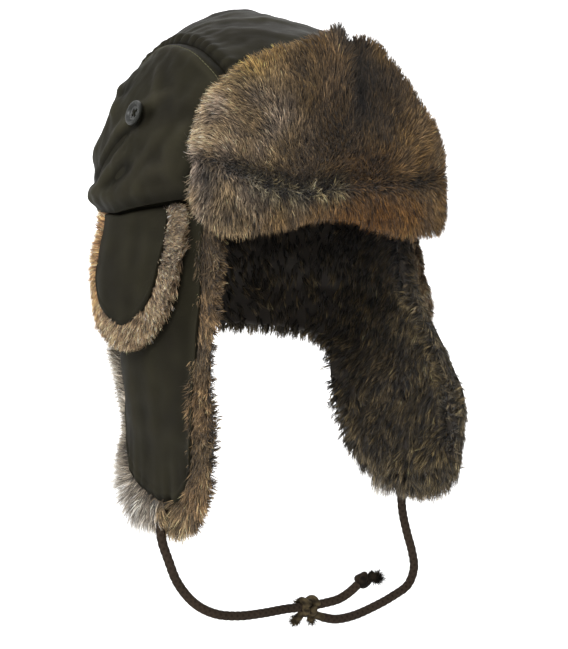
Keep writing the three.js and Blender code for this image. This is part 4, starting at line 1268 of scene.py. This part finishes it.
            # the rims between the two faces: low edge, then front edge
            for cut in ((slice(None), -1), (-1, slice(None))):
                a, b = keep_o[cut], P[cut]
                g = np.linspace(0, 1, 8)[None, :, None]
                E = a[:, None] + (b - a)[:, None] * g
                inside = keep_o[:, -6] if cut[1] == -1 and cut[0] == slice(None) else keep_o[-6, :]
                away = unit(a - inside)[:, None] + 0 * E
                m = keep_c[cut][:, None] + 0 * E
                pale_part = keep_pale[cut][:, None, None]
                shape = E.shape[:2]
                at = keep_a[cut][:, None] + flat(shape, 0)
                grown = (6.8 if hand < 0 else 8.0) + 9.0 * bump(at, 150, 20) + 3.0 * bump(at, 196, 16)
                grown = grown * (1 - waist * bump(E[..., 2], -126, 18) * (1 - smoothstep(150, 175, at)))
                fields.append(dict(P=E, N=away, flow=np.array([0, 0, -0.95]) + 0 * E, lift=flat(shape, 0.75), length=grown,
                                   weight=flat(shape, 3.6 if hand < 0 else 2.4), mid=m, tip=m * 1.4 + 0.02, root=m * (0.3 + 0.55 * pale_part), jitter=flat(shape, 0.26)))
    # a few hairs that fall over the start of the cord
    start = np.array((CORD_RIGHT if hand < 0 else CORD_LEFT)[0])
    start = point(start[0], start[1], start[2])
    sideways = np.array([0.0, -1.0, 0.0])
    g, h = np.meshgrid(np.linspace(-7, 7, 12), np.linspace(-3, 5, 8), indexing="ij")
    E = start + np.array([hand * 3.4, 0, 0]) + sideways * g[..., None] + np.array([0, 0, 1.0]) * h[..., None]
    m = np.where((g * 1.0 < 0)[..., None], srgb(176, 166, 152), srgb(160, 134, 96)) if hand < 0 else np.zeros_like(E) + srgb(84, 74, 54)
    fields.append(dict(P=E, N=np.zeros_like(E) + np.array([hand * 1.0, 0, 0]), flow=np.zeros_like(E) + np.array([hand * -0.25, 0, -1.0]),
                       lift=flat(g.shape, 0.1), length=flat(g.shape, 9.5), weight=flat(g.shape, 3.0), mid=m, tip=m * 1.5, root=m * 0.4,
                       jitter=flat(g.shape, 0.2)))
    # the right flap shows its soft border, the left one the clumped fur of its inner face
    how = dict(per_clump=4, pull=0.42, contrast=0.46, spread=0.6) if hand < 0 else dict(per_clump=7, pull=0.7, contrast=0.62)
    fur_piece(f"flap_fur_{side}", [skin_part], fields, 45000, 200 + hand, "fur_flap", f"ear_flap_fur_{side}", width=0.52,
              darks=0.3, pales=0.2, **how)


for hand in (-1, 1):
    ear_flap(hand)


# ---------------------------------------------------------------- ear covers
def ear_cover(hand):
    side = "right" if hand < 0 else "left"
    u, v = uv(84, 40)
    v = 1 - (1 - v) ** 1.3
    P, along, up = cover_surface(hand, COVER_EDGE, u, v)
    N = normals(P)
    reach = np.linalg.norm(P - P[:, -1:], axis=-1)
    x = 0.25 * ripple(along, 130 + hand, low=14, high=30) + 0.3 * fold_noise(P + 20) + 0.12 * crease_noise(P)
    x = x + 0.4 * bump(reach, 3.0, 1.6) - 0.2 * bump(reach, 5.5, 0.7)
    # painted shade and light of the ripples, with painted shade at the rim
    painted_shade = 0.12 * ripple(along, 130 + hand, low=14, high=30) + 0.06 * crease_noise(P) - 0.3 * bump(reach, 0, 2.5)
    outer = P + N * (NYLON / 2 + clamp(x, -0.5, 1.4))[..., None]
    inner = P - N * (NYLON / 2)
    verts, quads = wall_arrays(outer, inner, 0.45)
    obj = build(f"cover_shell_{side}", verts, quads, colours=painted_fold_shade(verts, painted_shade))
    smooth_by_angle(obj)
    give(obj, nylon, "nylon", f"ear_cover_shell_{side}")

    def faces(nu, nv):
        u, v = uv(nu, nv)
        Q, along, up = cover_surface(hand, COVER_FUR_EDGE, 0.5 + (u - 0.5) * 0.93, v * 0.955)
        N = normals(Q)
        row = plan_at(along)
        top = hem_over(hand, row) - 1.5
        depth = top - up
        inner = 1.4 - cover_stand(depth) * (1 - 0.25 * smoothstep(0.8, 1, v))
        return Q - N * (NYLON / 2 + 2 * GAP + 0.4), Q + N * np.minimum(inner, -2.6)[..., None], N, u, v, along, up

    O, I, N, u, v, along, up = faces(40, 22)
    verts, quads = wall_arrays(O, I, 0.4)
    skin_part = (verts, quads, None, np.tile(srgb(58, 46, 34), (len(verts), 1)))
    O, I, N, u, v, along, up = faces(150, 80)

    def colours(P, along, up):
        rel = along - COVER_START
        back = 1 - smoothstep(4, 22, rel)
        front = smoothstep(46, 66, rel)
        base = np.broadcast_to(srgb(168, 138, 102), P.shape)
        mid = blend_colours(base, [(0.9 * back * smoothstep(-70, -40, up), srgb(198, 146, 92)), (0.9 * front, srgb(180, 150, 114)),
                                   (0.5 * bump(rel, 30, 16) * (1 - smoothstep(-60, -50, up)), srgb(166, 140, 106))])
        return mid * clamp(1 + 0.16 * Waves(140, 9)(P) + 0.1 * Waves(141, 4)(P), 0.5, 1.5)[..., None]

    low_s = np.interp(along - COVER_START, COVER_EDGE["along"], COVER_EDGE["up"], left=50, right=50)
    rel = along - COVER_START
    beyond = np.maximum(low_s - up, np.maximum(-rel, rel - 69.5))
    centre = point(hand * 88, 0.0, -5.0)
    fields = []
    mid = colours(O, along, up)
    away = unit((O - centre) * np.array([0.2, 1.0, 1.0]))
    near_back = 1 - smoothstep(2, 12, rel)
    weight = 3.0 * smoothstep(-3.5, -1, beyond + 2.5 * near_back)
    fields.append(dict(P=O, N=N, flow=away * 1.0, lift=flat(u.shape, 0.4), length=7.4 + 2.5 * near_back, weight=weight, mid=mid,
                       tip=mid * 1.6 + 0.02, root=mid * 0.2, jitter=flat(u.shape, 0.15)))
    for cut, inside in (((slice(None), -1), O[:, -5]), ((-1, slice(None)), O[-5]), ((0, slice(None)), O[4])):
        a, b = O[cut], I[cut]
        g = np.linspace(0, 1, 8)[None, :, None]
        E = a[:, None] + (b - a)[:, None] * g
        n = unit(a - inside)[:, None] + 0 * E
        m = mid[cut][:, None] + 0 * E
        shape = E.shape[:2]
        fields.append(dict(P=E, N=n, flow=np.array([hand * 0.1, 0, -0.25]) + 0 * E, lift=flat(shape, 0.95),
                           length=7.2 + 4.0 * (1 - smoothstep(-12, 8, rel[cut]))[:, None] + flat(shape, 0),
                           weight=flat(shape, 3.2), mid=m, tip=m * 1.4 + 0.02, root=m * 0.3, jitter=flat(shape, 0.3)))
    fur_piece(f"cover_fur_{side}", [skin_part], fields, 25000, 300 + hand, "fur_cover", f"ear_cover_fur_{side}", width=0.47, spread=0.6, per_clump=5, pull=0.6, contrast=0.62,
              wildness=0.4, darks=0.3, pales=0.25)


for hand in (-1, 1):
    ear_cover(hand)


# ================================================================ floor, backdrop and light
def stage():
    y = np.concatenate([np.linspace(-18, 2.2, 12), 2.2 + 1.6 * np.sin(np.linspace(0.05, np.pi / 2, 24)), np.full(8, 3.8)])
    z = np.concatenate([np.zeros(12), 1.6 * (1 - np.cos(np.linspace(0.05, np.pi / 2, 24))), np.linspace(1.8, 5, 8)]) - 0.5
    # The sweep faces the camera.
    d = np.array([TARGET.x - EYE.x, TARGET.y - EYE.y])
    d /= np.linalg.norm(d)
    across = np.array([d[1], -d[0]])
    verts = []
    for yy, zz in zip(y, z):
        for w in np.linspace(-14, 14, 15):
            verts.append((d[0] * yy + across[0] * w, d[1] * yy + across[1] * w, zz))
    obj = build("floor", np.array(verts) / MM, grid_quads(len(y), 15))
    m, nodes, links, shader = material("pale floor", 0.8, 0.2)
    at = nodes.new("ShaderNodeTexCoord").outputs["Object"]
    links.new(ramp(nodes, links, noise(nodes, links, at, 3.0, 3), [(0.3, (0.84, 0.84, 0.84)), (0.7, (0.87, 0.87, 0.87))]), shader.inputs["Base Color"])
    obj.data.materials.append(m)


stage()


def area(name, where, size, power, colour=(1, 1, 1), at=(0, 0, -0.03)):
    light = bpy.data.lights.new(name, "AREA")
    light.shape = "DISK"
    light.size = size
    light.energy = power
    light.color = colour
    obj = bpy.data.objects.new(name, light)
    obj.location = where
    obj.rotation_euler = (Vector(at) - Vector(where)).to_track_quat("-Z", "Y").to_euler()
    scene.collection.objects.link(obj)


area("key", (-1.7, -1.5, 1.2), 1.0, 58)
area("fill", (1.3, -1.8, 0.4), 1.6, 5)
area("top", (-0.3, 0.1, 1.9), 1.3, 9)
area("rim", (-1.4, 1.2, 0.9), 0.9, 10)
area("backdrop", (1.5, 1.6, 2.6), 1.6, 130, at=(1.9, 3.4, 0.6))
world = bpy.data.worlds.new("studio")
scene.world = world
world.use_nodes = True
world.node_tree.nodes["Background"].inputs["Color"].default_value = (1, 1, 1, 1)
world.node_tree.nodes["Background"].inputs["Strength"].default_value = 0.6
